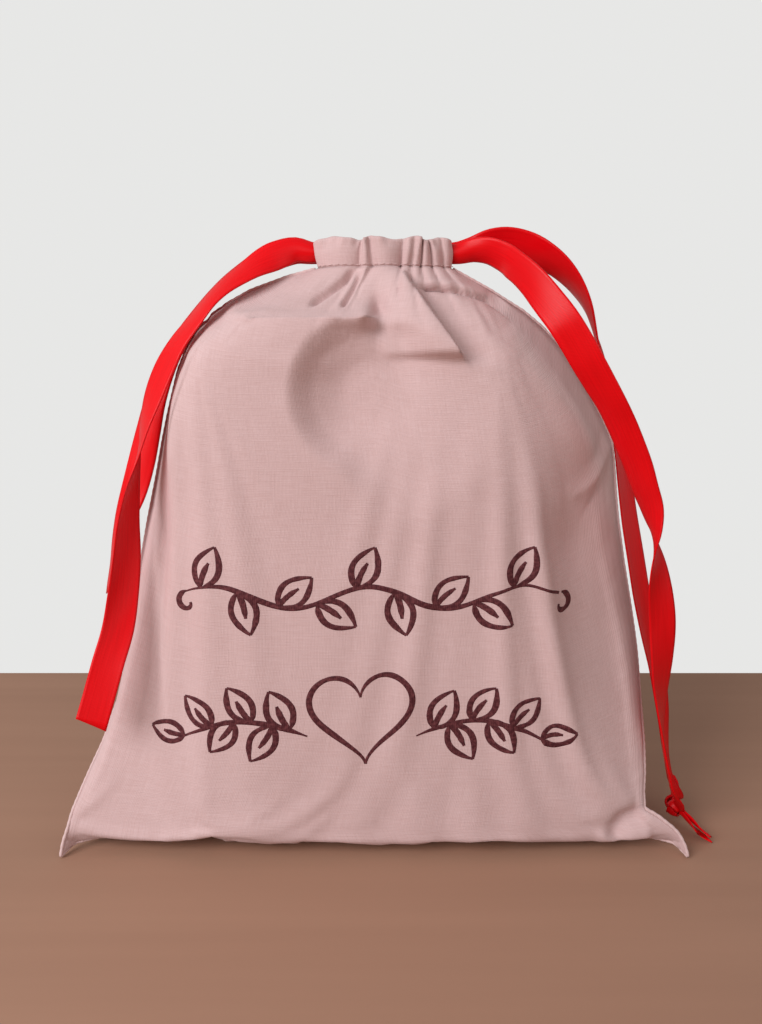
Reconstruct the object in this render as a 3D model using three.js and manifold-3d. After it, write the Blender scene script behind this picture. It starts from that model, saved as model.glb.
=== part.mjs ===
// A drawstring gift sack of plain cotton, standing on a table round the boxed gift that it holds.
// Millimetres, +Z up, the front faces -Y. The origin is on the table, under the middle of the sack.
import * as THREE from "three";
import { mergeVertices } from "three/addons/utils/BufferGeometryUtils.js";
import Module from "manifold-3d";

const wasm = await Module();
wasm.setup();

// ---- driving dimensions ----
const CLOTH = 1.2; // wall of the two panels
const SEAM_GAP = 1.6; // room between the panels, which the seam allowance fills
const ALLOWANCE = 6; // width of the sewn seam allowance
const SEAM_PLY = 0.9; // thickness of the allowance
const ROOF = 184.6; // top of the panels, where the gathered neck stands up
const NECK_TOP = 194.6; // top of the gathered neck
const NECK_BASE = 182.4; // the casings reach down through the roof
const NECK = { x: 3, a: 22.5, b: 9.5 }; // middle and half axes of the neck
const CASING_WALL = 1.0;
const CHANNEL = 2.6; // room for the ribbons inside the casings
const RIBBON_WIDTH = 10;
const RIBBON_PLY = 0.7;
const KNOT_RADIUS = 3.2;
const GIFT = { width: 78, depth: 36, height: 160, x: -9, edge: 2 };
const LABEL = { width: 17, height: 15, ply: 0.6 };
const CLEARANCE = 0.3;

// Level of the sack: height, left and right edge, front, back, where the side seam runs, and the
// roundness of the section in front and behind (2 is an ellipse, more is boxier).
const LEVELS = [
  { z: 0, left: -100, right: 100, front: -29, back: 24, seam: -26, roundFront: 3, roundBack: 2.4 },
  { z: 10, left: -98, right: 97.4, front: -29, back: 28.5, seam: -22, roundFront: 3, roundBack: 2.4 },
  { z: 32, left: -90, right: 89.4, front: -29, back: 29, seam: -13, roundFront: 2.8, roundBack: 2.4 },
  { z: 60, left: -83, right: 88, front: -28, back: 29, seam: -4, roundFront: 2.7, roundBack: 2.4 },
  { z: 93, left: -76, right: 82, front: -27, back: 28.5, seam: 0, roundFront: 2.7, roundBack: 2.6 },
  { z: 125, left: -68, right: 76.4, front: -26, back: 28, seam: 0, roundFront: 2.9, roundBack: 2.8 },
  { z: 150, left: -62, right: 65, front: -25.5, back: 27.5, seam: 0, roundFront: 3.4, roundBack: 3.2 },
  { z: 166, left: -55.5, right: 54, front: -25, back: 25.5, seam: 0, roundFront: 3.7, roundBack: 4.4 },
  { z: 170, left: -51.5, right: 49, front: -23.5, back: 24, seam: 0, roundFront: 3.1, roundBack: 4.2 },
  { z: 174, left: -45.5, right: 43, front: -20, back: 20, seam: 0, roundFront: 3, roundBack: 3 },
  { z: 179, left: -37, right: 36, front: -16.5, back: 17, seam: 0, roundFront: 2.4, roundBack: 2.4 },
  { z: 182, left: -30.5, right: 31.5, front: -14, back: 14, seam: 0, roundFront: 2.2, roundBack: 2.2 },
  { z: ROOF, left: -25.5, right: 28, front: -11.5, back: 11.5, seam: 0, roundFront: 2, roundBack: 2 },
];

// Ribbon routes: x, y, z of the middle line and the roll of the band about it, in degrees. At roll 0
// the satin face looks to the front.
const LEFT_FRONT_ROUTE = [
  [-24.4, -1.2, 190.4, 0], [-29.9, -2.5, 188.7, 8], [-34.7, -4, 186.4, 25], [-39.3, -6, 183.4, 42],
  [-44, -8, 180, 50], [-49.3, -11, 174.7, 58], [-54.2, -13, 168.1, 58], [-59.4, -14, 161.3, 52],
  [-63.7, -14, 153.9, 42], [-67.4, -14, 145.8, 42], [-70.7, -14, 136.7, 55], [-72.8, -14.5, 127.5, 72],
  [-75.3, -15.5, 116.8, 97], [-76.7, -16.5, 107.2, 115], [-77.4, -17.5, 96, 134], [-78.3, -19.5, 85, 148],
  [-79.5, -22.5, 74.3, 160], [-81.8, -26.5, 64.4, 168], [-84.4, -29.5, 54, 170],
  [-86.3, -31.5, 46.8, 168],
];
const LEFT_BACK_ROUTE = [
  [-24.4, 1.2, 190.1, 10], [-30.5, 2, 189, 25], [-35.6, 2.5, 187.3, 35], [-41.1, 2.5, 184.6, 50],
  [-46.5, 2, 181.1, 58], [-52.1, 0.5, 175.8, 60], [-57.4, -1, 168.9, 52], [-62.5, -2, 161.5, 44],
  [-66.9, -2.5, 153, 38], [-70.4, -3, 143.9, 32], [-73.2, -3, 133.8, 25], [-75.6, -3, 124.7, 20],
  [-78.7, -3, 114.9, 24], [-82.2, -3, 106.3, 40], [-85.3, -3, 97.6, 56], [-87.1, -3, 89.5, 62],
  [-88.5, -3, 81.3, 58],
];
const RIGHT_FRONT_ROUTE = [
  [30.9, -1.2, 189.8, 20], [35.1, -2.5, 189.3, 35], [38.8, -5, 187.4, 45], [42, -10, 184.1, 48],
  [46.5, -16, 178.7, 42], [50.5, -20, 172.9, 32], [54.7, -23, 166.8, 25], [58.6, -23.5, 160.9, 25],
  [62.1, -23.5, 155.2, 28], [66.1, -22.5, 149.2, 34], [70, -21.5, 143.3, 40], [73.7, -20, 137.1, 40],
  [76.8, -19, 131, 42], [79.9, -18, 124.5, 47], [82.4, -17, 118.2, 54], [85.3, -16, 111.2, 66],
  [86.8, -15.5, 104.8, 88], [88, -15, 98.3, 118], [90.3, -14, 87, 150], [92.3, -13.5, 74.3, 162],
  [93.1, -13.5, 61.1, 148], [93.3, -13.5, 52.5, 136], [93.9, -13.5, 43.5, 122], [95, -13, 34.5, 112],
  [96.3, -12.5, 27.8, 110], [98.2, -12, 21.4, 112], [99.6, -11.8, 15.9, 112],
];
const RIGHT_BACK_ROUTE = [
  [30.9, 1.2, 190.7, 20], [36.5, 1.4, 192.4, 32], [42.4, 1.2, 192.5, 28], [48.1, 0.8, 191, 28],
  [53.1, 0.3, 188.5, 42], [57.5, 0, 185.4, 54], [61.7, 0, 181.2, 66], [65.9, 0.5, 175.2, 80],
  [69.5, 2, 167.6, 95], [72.5, 3, 159.1, 108], [75.5, 3.8, 148.6, 118], [78.5, 4.2, 137.2, 125],
  [81, 4.2, 127.3, 130], [83.2, 4.2, 117.3, 135], [85.6, 4, 104.4, 135], [88.2, 3.5, 91.4, 135],
  [90.9, 3.2, 77.7, 138], [94, 3, 64.2, 140], [96.8, 3, 53.7, 140], [99.1, 3, 43.4, 138],
  [100.8, 3, 34.1, 130], [102, 3, 25.5, 120], [103.2, 2.8, 18, 112], [104.4, 2, 10.7, 110],
];
const TAIL_ROUTE = [
  [104.8, -10.6, 3.6, 60], [105.6, -15, 2.4, 80], [106.9, -21, 1.5, 88],
];

// ---- materials ----
const cotton = (colour = 0xddc1bf) =>
  new THREE.MeshStandardMaterial({ color: colour, roughness: 0.95, metalness: 0 });
const satin = () => new THREE.MeshStandardMaterial({ color: 0xd90a18, roughness: 0.4, metalness: 0 });
const thread = () => new THREE.MeshStandardMaterial({ color: 0xcaa9a7, roughness: 0.9, metalness: 0 });
const carton = () => new THREE.MeshStandardMaterial({ color: 0xb99a78, roughness: 0.8, metalness: 0 });
const tape = () => new THREE.MeshStandardMaterial({ color: 0xeeeae6, roughness: 0.5, metalness: 0 });

// ---- solids and booleans ----
function asSolid(geometry) {
  const bare = geometry.clone();
  bare.deleteAttribute("normal");
  bare.deleteAttribute("uv");
  const merged = mergeVertices(bare, 1e-4);
  return new wasm.Manifold(
    new wasm.Mesh({
      numProp: 3,
      vertProperties: new Float32Array(merged.attributes.position.array),
      triVerts: new Uint32Array(merged.index.array),
    }),
  );
}

function asGeometry(solid) {
  const mesh = solid.getMesh();
  const geometry = new THREE.BufferGeometry();
  geometry.setAttribute("position", new THREE.BufferAttribute(new Float32Array(mesh.vertProperties), 3));
  geometry.setIndex(new THREE.BufferAttribute(new Uint32Array(mesh.triVerts), 1));
  geometry.computeVertexNormals();
  return geometry;
}

// A closed solid through rings of equal point counts, each ring anticlockwise seen from above.
function loft(rings) {
  const count = rings[0].length;
  const positions = rings.flat().flatMap((p) => [p.x, p.y, p.z]);
  const index = [];
  for (let level = 0; level < rings.length - 1; level++) {
    for (let i = 0; i < count; i++) {
      const j = (i + 1) % count;
      const a = level * count + i;
      const b = level * count + j;
      index.push(a, b, b + count, a, b + count, a + count);
    }
  }
  const top = (rings.length - 1) * count;
  for (const [start, up] of [[0, false], [top, true]]) {
    const flat = rings[start / count].map((p) => new THREE.Vector2(p.x, p.y));
    for (const [a, b, c] of THREE.ShapeUtils.triangulateShape(flat, [])) {
      index.push(start + a, start + (up ? b : c), start + (up ? c : b));
    }
  }
  const geometry = new THREE.BufferGeometry();
  geometry.setAttribute("position", new THREE.Float32BufferAttribute(positions, 3));
  geometry.setIndex(index);
  return geometry;
}

// One ring of the sack's section, drawn inwards by a wall.
const AROUND = 44;
function sackRing(level, wall) {
  const middle = (level.left + level.right) / 2;
  const half = (level.right - level.left) / 2 - wall;
  const ring = [];
  for (let i = 0; i < AROUND; i++) {
    const angle = (2 * Math.PI * i) / AROUND;
    const behind = Math.sin(angle) >= 0;
    const round = 2 / (behind ? level.roundBack : level.roundFront);
    const reach = behind ? level.back - level.seam : level.seam - level.front;
    const depth = Math.max(reach - wall, 0.2);
    const across = Math.sign(Math.cos(angle)) * Math.abs(Math.cos(angle)) ** round;
    const out = Math.sign(Math.sin(angle)) * Math.abs(Math.sin(angle)) ** round;
    ring.push(new THREE.Vector3(middle + half * across, level.seam + depth * out, level.z));
  }
  return ring;
}

function ellipseRing(a, b, z) {
  const ring = [];
  for (let i = 0; i < AROUND; i++) {
    const angle = (2 * Math.PI * i) / AROUND;
    ring.push(new THREE.Vector3(NECK.x + a * Math.cos(angle), b * Math.sin(angle), z));
  }
  return ring;
}

function neckSolid(inset, low, high) {
  const rings = [low, high].map((z) => ellipseRing(NECK.a - inset, NECK.b - inset, z));
  return asSolid(loft(rings));
}

function block(x0, x1, y0, y1, z0, z1) {
  const box = new THREE.BoxGeometry(x1 - x0, y1 - y0, z1 - z0);
  return asSolid(box.translate((x0 + x1) / 2, (y0 + y1) / 2, (z0 + z1) / 2));
}

// The height levels read at any height in between.
function levelAt(z) {
  const above = Math.max(1, LEVELS.findIndex((level) => level.z >= z));
  const low = LEVELS[above - 1];
  const high = LEVELS[above];
  const share = (z - low.z) / (high.z - low.z);
  const level = {};
  for (const key of Object.keys(low)) {
    level[key] = THREE.MathUtils.lerp(low[key], high[key], share);
  }
  return level;
}

// The space on one side of the wavy plane in which the side seams run.
const FAR = 140;
const BEYOND = 20;
function seamHalf(side, shift) {
  const profile = LEVELS.map((level) => new THREE.Vector2(level.seam + shift, level.z));
  profile.unshift(profile[0].clone().setY(-BEYOND));
  profile.push(profile.at(-1).clone().setY(ROOF + BEYOND));
  const shape = new THREE.Shape([
    ...profile,
    new THREE.Vector2(side * FAR, ROOF + BEYOND),
    new THREE.Vector2(side * FAR, -BEYOND),
  ]);
  const geometry = new THREE.ExtrudeGeometry(shape, { depth: 2 * FAR, bevelEnabled: false });
  // The shape's x is the sack's Y, its y is Z, and the extrusion runs along X.
  geometry.translate(0, 0, -FAR);
  geometry.applyMatrix4(new THREE.Matrix4().makeBasis(
    new THREE.Vector3(0, 1, 0), new THREE.Vector3(0, 0, 1), new THREE.Vector3(1, 0, 0)));
  return asSolid(geometry);
}

// A flat strip between two lines of points, with its thickness along +-Y.
function strip(outer, inner, ply) {
  const rings = outer.map((p, i) => {
    const q = inner[i];
    const [low, high] = p.x < q.x ? [p, q] : [q, p];
    return [
      new THREE.Vector3(low.x, low.y - ply / 2, low.z),
      new THREE.Vector3(high.x, high.y - ply / 2, high.z),
      new THREE.Vector3(high.x, high.y + ply / 2, high.z),
      new THREE.Vector3(low.x, low.y + ply / 2, low.z),
    ];
  });
  return loftAlong(rings);
}

// A closed solid through rings of four points along any route.
function loftAlong(rings) {
  const positions = rings.flat().flatMap((p) => [p.x, p.y, p.z]);
  const index = [];
  for (let k = 0; k < rings.length - 1; k++) {
    for (let i = 0; i < 4; i++) {
      const a = k * 4 + i;
      const b = k * 4 + ((i + 1) % 4);
      // Opposite faces share one diagonal, so a twisted band keeps its thickness.
      if (i < 2) index.push(a, b, b + 4, a, b + 4, a + 4);
      else index.push(a, b, a + 4, b, b + 4, a + 4);
    }
  }
  const end = (rings.length - 1) * 4;
  index.push(0, 2, 1, 0, 3, 2);
  index.push(end, end + 1, end + 2, end, end + 2, end + 3);
  const geometry = new THREE.BufferGeometry();
  geometry.setAttribute("position", new THREE.Float32BufferAttribute(positions, 3));
  geometry.setIndex(index);
  const solid = asSolid(geometry);
  if (solid.volume() > 0) return geometry;
  geometry.setIndex(index.map((_, i) => index[i - (i % 3) + [0, 2, 1][i % 3]]));
  return geometry;
}

// A satin band along a route: its width turns about the route by each point's roll.
const STEP = 2.2 * RIBBON_WIDTH; // distance between the band's sections
function ribbon(route, width = RIBBON_WIDTH) {
  const curve = new THREE.CatmullRomCurve3(route.map(([x, y, z]) => new THREE.Vector3(x, y, z)));
  const steps = Math.max(3, Math.round(curve.getLength() / STEP) * 2);
  const rings = [];
  for (let i = 0; i <= steps; i++) {
    const t = i / steps;
    const place = t * (route.length - 1);
    const before = Math.min(Math.floor(place), route.length - 2);
    const roll = THREE.MathUtils.lerp(route[before][3], route[before + 1][3], place - before);
    const along = curve.getTangent(t);
    const face = new THREE.Vector3(0, -1, 0).addScaledVector(along, along.y).normalize();
    face.applyAxisAngle(along, THREE.MathUtils.degToRad(roll));
    const across = new THREE.Vector3().crossVectors(along, face).normalize();
    const middle = curve.getPoint(t);
    const corner = (w, f) => middle.clone()
      .addScaledVector(across, (w * width) / 2)
      .addScaledVector(face, (f * RIBBON_PLY) / 2);
    rings.push([corner(-1, -1), corner(1, -1), corner(1, 1), corner(-1, 1)]);
  }
  return loftAlong(rings);
}

// ---- the object ----
const sack = new THREE.Group();
function add(name, geometry, material) {
  const mesh = new THREE.Mesh(geometry, material);
  mesh.name = name;
  sack.add(mesh);
}

// The two panels: one hollow skin, opened for the neck and split along the seams.
const outer = asSolid(loft(LEVELS.map((level) => sackRing(level, 0))));
const hollowLevels = [levelAt(CLOTH), ...LEVELS.slice(1, -1), levelAt(ROOF - CLOTH)];
const hollow = asSolid(loft(hollowLevels.map((level) => sackRing(level, CLOTH))));
const skin = outer.subtract(hollow).subtract(neckSolid(-CLEARANCE, NECK_BASE - 5, NECK_TOP));
const front = skin.intersect(seamHalf(-1, -SEAM_GAP / 2));
const back = skin.intersect(seamHalf(1, SEAM_GAP / 2));
add("front_panel", asGeometry(front), cotton());
add("back_panel", asGeometry(back), cotton(0xd6b7b4));

// Seam allowances, which stand in the room between the panels.
const SIDE_FROM = 12;
const SIDE_STEPS = 14;
for (const [name, edge, side] of [["left_side_seam", "left", -1], ["right_side_seam", "right", 1]]) {
  const outerLine = [];
  const innerLine = [];
  for (let i = 0; i <= SIDE_STEPS; i++) {
    const level = levelAt(THREE.MathUtils.lerp(SIDE_FROM, ROOF - CLOTH, i / SIDE_STEPS));
    outerLine.push(new THREE.Vector3(level[edge], level.seam, level.z));
    innerLine.push(new THREE.Vector3(level[edge] - side * ALLOWANCE, level.seam, level.z));
  }
  add(name, strip(outerLine, innerLine, SEAM_PLY), thread());
}
const bottomLevels = [levelAt(CLEARANCE), levelAt(SIDE_FROM - CLEARANCE - 1)];
add(
  "bottom_seam",
  strip(
    bottomLevels.map((level) => new THREE.Vector3(level.left + 1, level.seam, level.z)),
    bottomLevels.map((level) => new THREE.Vector3(level.right - 1, level.seam, level.z)),
    SEAM_PLY,
  ),
  thread(),
);

// The casings: a gathered ring round the mouth, with a channel for the ribbons, open at both sides.
const SIDE_OPENING = 2.2; // half of the opening at each side, through which the ribbons leave
const ring = neckSolid(0, NECK_BASE, NECK_TOP)
  .subtract(neckSolid(2 * CASING_WALL + CHANNEL, NECK_BASE - 1, NECK_TOP + 1));
const channel = neckSolid(CASING_WALL, NECK_BASE + 1, NECK_TOP - 1)
  .subtract(neckSolid(CASING_WALL + CHANNEL, NECK_BASE, NECK_TOP));
const casings = ring.subtract(channel).subtract(
  block(-FAR, FAR, -SIDE_OPENING, SIDE_OPENING, NECK_BASE - 1, NECK_TOP + 1));
add("front_casing", asGeometry(casings.intersect(block(-FAR, FAR, -FAR, 0, 0, 2 * FAR))), cotton());
add("back_casing", asGeometry(casings.intersect(block(-FAR, FAR, 0, FAR, 0, 2 * FAR))), cotton(0xd6b7b4));

// Each ribbon runs right round the neck inside both casings and leaves on its own side.
// The left one is bunched into the upper half of the channel and the right one into the lower half.
const CHANNEL_LOW = NECK_BASE + 1 + CLEARANCE;
const CHANNEL_HIGH = NECK_TOP - 1 - CLEARANCE;
const CHANNEL_MIDDLE = (CHANNEL_LOW + CHANNEL_HIGH) / 2;
const RUN_INSET = CASING_WALL + (CHANNEL - RIBBON_PLY) / 2;
const RUN_END = 8; // a run stops this far short of the side on which its ribbon leaves
const HEIGHTS = {
  left: [CHANNEL_MIDDLE + CLEARANCE, CHANNEL_HIGH],
  right: [CHANNEL_LOW, CHANNEL_MIDDLE - CLEARANCE],
};
function run(side, [low, high]) {
  const band = neckSolid(RUN_INSET, low, high)
    .subtract(neckSolid(RUN_INSET + RIBBON_PLY, low - 1, high + 1));
  const leave = NECK.x + side * (NECK.a - RUN_END);
  return asGeometry(band.subtract(
    block(Math.min(leave, side * FAR), Math.max(leave, side * FAR), -FAR, FAR, 0, 2 * FAR)));
}
add("left_ribbon_run", run(-1, HEIGHTS.left), satin());
add("right_ribbon_run", run(1, HEIGHTS.right), satin());

// The short stretch of each ribbon that slides in the side opening.
const EXIT_INSIDE = 4.5;
const EXIT_OUTSIDE = 5;
for (const [name, side] of [["left", -1], ["right", 1]]) {
  const edge = NECK.x + side * NECK.a;
  const ends = [edge - side * EXIT_INSIDE, edge + side * EXIT_OUTSIDE];
  const [low, high] = HEIGHTS[name];
  const stretch = block(Math.min(...ends), Math.max(...ends), -RIBBON_PLY / 2, RIBBON_PLY / 2, low, high);
  add(`${name}_ribbon_exit`, asGeometry(stretch), satin());
}

// The loose strands, and the knot that ties the right pair.
add("left_ribbon_front_strand", ribbon(LEFT_FRONT_ROUTE), satin());
add("left_ribbon_back_strand", ribbon(LEFT_BACK_ROUTE), satin());
add("right_ribbon_front_strand", ribbon(RIGHT_FRONT_ROUTE), satin());
add("right_ribbon_back_strand", ribbon(RIGHT_BACK_ROUTE), satin());
const knot = new THREE.SphereGeometry(KNOT_RADIUS, 10, 8).scale(1, 1, 1.05).translate(103.4, -6.5, 5.2);
add("right_ribbon_knot", knot, satin());
add("right_ribbon_tails", ribbon(TAIL_ROUTE, 3), satin());

// The boxed gift, a carton that stands on the floor of the sack.
const giftShape = new THREE.Shape();
const halfWidth = GIFT.width / 2;
const halfDepth = GIFT.depth / 2;
giftShape.moveTo(-halfWidth + GIFT.edge, -halfDepth);
giftShape.lineTo(halfWidth - GIFT.edge, -halfDepth);
giftShape.lineTo(halfWidth, -halfDepth + GIFT.edge);
giftShape.lineTo(halfWidth, halfDepth - GIFT.edge);
giftShape.lineTo(halfWidth - GIFT.edge, halfDepth);
giftShape.lineTo(-halfWidth + GIFT.edge, halfDepth);
giftShape.lineTo(-halfWidth, halfDepth - GIFT.edge);
giftShape.lineTo(-halfWidth, -halfDepth + GIFT.edge);
const gift = new THREE.ExtrudeGeometry(giftShape, { depth: GIFT.height, bevelEnabled: false });
add("boxed_gift", gift.translate(GIFT.x, 0, CLOTH + CLEARANCE), carton());

// The folded care label, sewn into the seam on the right shoulder.
const LABEL_FOOT = new THREE.Vector3(37.6, 5.4, 186.4);
const LABEL_LEAN = THREE.MathUtils.degToRad(24);
const label = new THREE.BoxGeometry(LABEL.width, LABEL.ply, LABEL.height);
label.translate(LABEL.width / 2, 0, LABEL.height / 2);
label.rotateY(LABEL_LEAN);
add("care_label", label.translate(LABEL_FOOT.x, LABEL_FOOT.y, LABEL_FOOT.z), tape());

export default sack;
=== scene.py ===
"""A drawstring gift sack of dusty pink cotton, gathered at the neck by red satin ribbons.

The cloth is one grid in its cut layout, laid round the boxed gift, settled by a cloth simulation and
then dressed with seams, stitches, a painted sprig, ribbons, a knot and a label. Lengths are metres.
"""

import logging
import math
from dataclasses import dataclass, field
from enum import Enum

import bpy
import numpy as np
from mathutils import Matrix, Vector
from mathutils.bvhtree import BVHTree

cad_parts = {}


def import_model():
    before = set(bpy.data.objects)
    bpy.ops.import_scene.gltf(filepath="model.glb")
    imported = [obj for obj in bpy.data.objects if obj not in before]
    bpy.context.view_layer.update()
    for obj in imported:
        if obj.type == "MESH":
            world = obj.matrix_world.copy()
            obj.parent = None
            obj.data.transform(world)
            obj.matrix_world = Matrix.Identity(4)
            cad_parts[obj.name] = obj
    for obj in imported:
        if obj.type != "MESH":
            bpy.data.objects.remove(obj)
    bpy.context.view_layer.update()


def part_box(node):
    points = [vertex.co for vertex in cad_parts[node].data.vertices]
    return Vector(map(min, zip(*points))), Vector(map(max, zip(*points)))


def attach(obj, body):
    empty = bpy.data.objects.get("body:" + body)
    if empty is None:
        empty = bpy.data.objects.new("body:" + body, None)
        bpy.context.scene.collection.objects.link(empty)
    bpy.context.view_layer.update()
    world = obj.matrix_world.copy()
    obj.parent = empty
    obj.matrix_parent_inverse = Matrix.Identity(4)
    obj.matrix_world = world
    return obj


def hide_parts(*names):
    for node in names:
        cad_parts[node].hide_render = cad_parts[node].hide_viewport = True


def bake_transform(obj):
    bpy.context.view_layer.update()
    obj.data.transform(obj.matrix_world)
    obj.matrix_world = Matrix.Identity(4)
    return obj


LOG = logging.getLogger("gift_sack")
MM = 0.001
CLOTH_PLY = 0.35 * MM
STRAND_STEP = 1.5  # between the points of a free ribbon, in millimetres
# How far a settling box stands out past the gift at its low and high corners, in metres.
GIFT_PADDING = (Vector((0.007, 0.0065, 0.0)), Vector((0.012, 0.005, 0.0)))
# The least gap left between the gift and the cloth at the same corners.
GIFT_CLEARANCE = (Vector((1.7, 0.5, 0.9)) * MM, Vector((1.7, 1.7, 1.7)) * MM)


# ---------------------------------------------------------------- small helpers
class Side(Enum):
    """The two sides of the sack, with the sign of X on each."""

    LEFT = -1
    RIGHT = 1


class Sheet(Enum):
    """The two cotton panels, with the sign of Y on each."""

    FRONT = -1
    BACK = 1


def smooth(edge0: float, edge1: float, value: np.ndarray | float) -> np.ndarray | float:
    """A smooth step from 0 at edge0 to 1 at edge1."""
    share = np.clip((value - edge0) / (edge1 - edge0), 0.0, 1.0)
    return share * share * (3.0 - 2.0 * share)


def bump(value: np.ndarray | float, centre: float, width: float) -> np.ndarray | float:
    """A bell of height 1 at centre that has died away two widths off."""
    return np.exp(-(((value - centre) / width) ** 2))


def new_object(name: str, verts: np.ndarray, faces: list, material: bpy.types.Material) -> bpy.types.Object:
    """Makes a smooth-shaded mesh object.

    Args:
        name: The piece's name.
        verts: Points in metres, one row each.
        faces: Vertex numbers of each face.
        material: The finish.

    Returns:
        The object, linked to the scene.
    """
    mesh = bpy.data.meshes.new(name)
    mesh.from_pydata([tuple(map(float, v)) for v in verts], [], faces)
    mesh.validate()
    mesh.polygons.foreach_set("use_smooth", [True] * len(mesh.polygons))
    mesh.materials.append(material)
    made = bpy.data.objects.new(name, mesh)
    bpy.context.scene.collection.objects.link(made)
    return made


def grid_faces(rows: int, columns: int) -> list[tuple[int, int, int, int]]:
    """Quads of a grid of points, row by row."""
    return [
        (r * columns + c, r * columns + c + 1, (r + 1) * columns + c + 1, (r + 1) * columns + c)
        for r in range(rows - 1)
        for c in range(columns - 1)
    ]


def lay_uv(target: bpy.types.Object, coordinates: np.ndarray) -> None:
    """Gives each vertex its place on the flat cloth, in metres, as a UV map.

    Args:
        target: The mesh object.
        coordinates: One (across, up) pair for each vertex.
    """
    layer = target.data.uv_layers.new(name="cloth")
    loops = np.zeros(len(target.data.loops), np.int32)
    target.data.loops.foreach_get("vertex_index", loops)
    layer.data.foreach_set("uv", coordinates[loops].astype(np.float32).ravel())


def apply_modifiers(target: bpy.types.Object) -> None:
    """Replaces an object's mesh by its evaluated mesh.

    Args:
        target: The mesh object.
    """
    graph = bpy.context.evaluated_depsgraph_get()
    final = bpy.data.meshes.new_from_object(target.evaluated_get(graph))
    target.modifiers.clear()
    target.data = final


def joined(parts: list[bpy.types.Object], name: str) -> bpy.types.Object:
    """Joins several objects into one.

    Args:
        parts: The mesh objects.
        name: The name of the whole.

    Returns:
        The one object that is left.
    """
    bpy.ops.object.select_all(action="DESELECT")
    for part in parts:
        part.select_set(True)
    bpy.context.view_layer.objects.active = parts[0]
    bpy.ops.object.join()
    parts[0].name = name
    parts[0].select_set(False)
    return parts[0]


def thicken(target: bpy.types.Object, thickness: float, offset: float = -1.0) -> None:
    """Gives a sheet its real thickness.

    Args:
        target: The sheet.
        thickness: In metres.
        offset: Which side it goes on: 1 is the way that the faces point, -1 the other.
    """
    solid = target.modifiers.new("thickness", "SOLIDIFY")
    solid.thickness = thickness
    solid.offset = offset
    apply_modifiers(target)


def dress(piece: bpy.types.Object, body: str, slot: str, *nodes: str) -> None:
    """Hangs a piece on its body, in place of its plain nodes.

    Args:
        piece: The piece.
        body: The body's name, or nothing for a piece that bends between two.
        slot: The finish's slot; not used.
        nodes: The nodes that it stands for.
    """
    if body:
        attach(piece, body)
    if nodes:
        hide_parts(*nodes)
    LOG.info("%s: %d faces", piece.name, len(piece.data.polygons))


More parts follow.
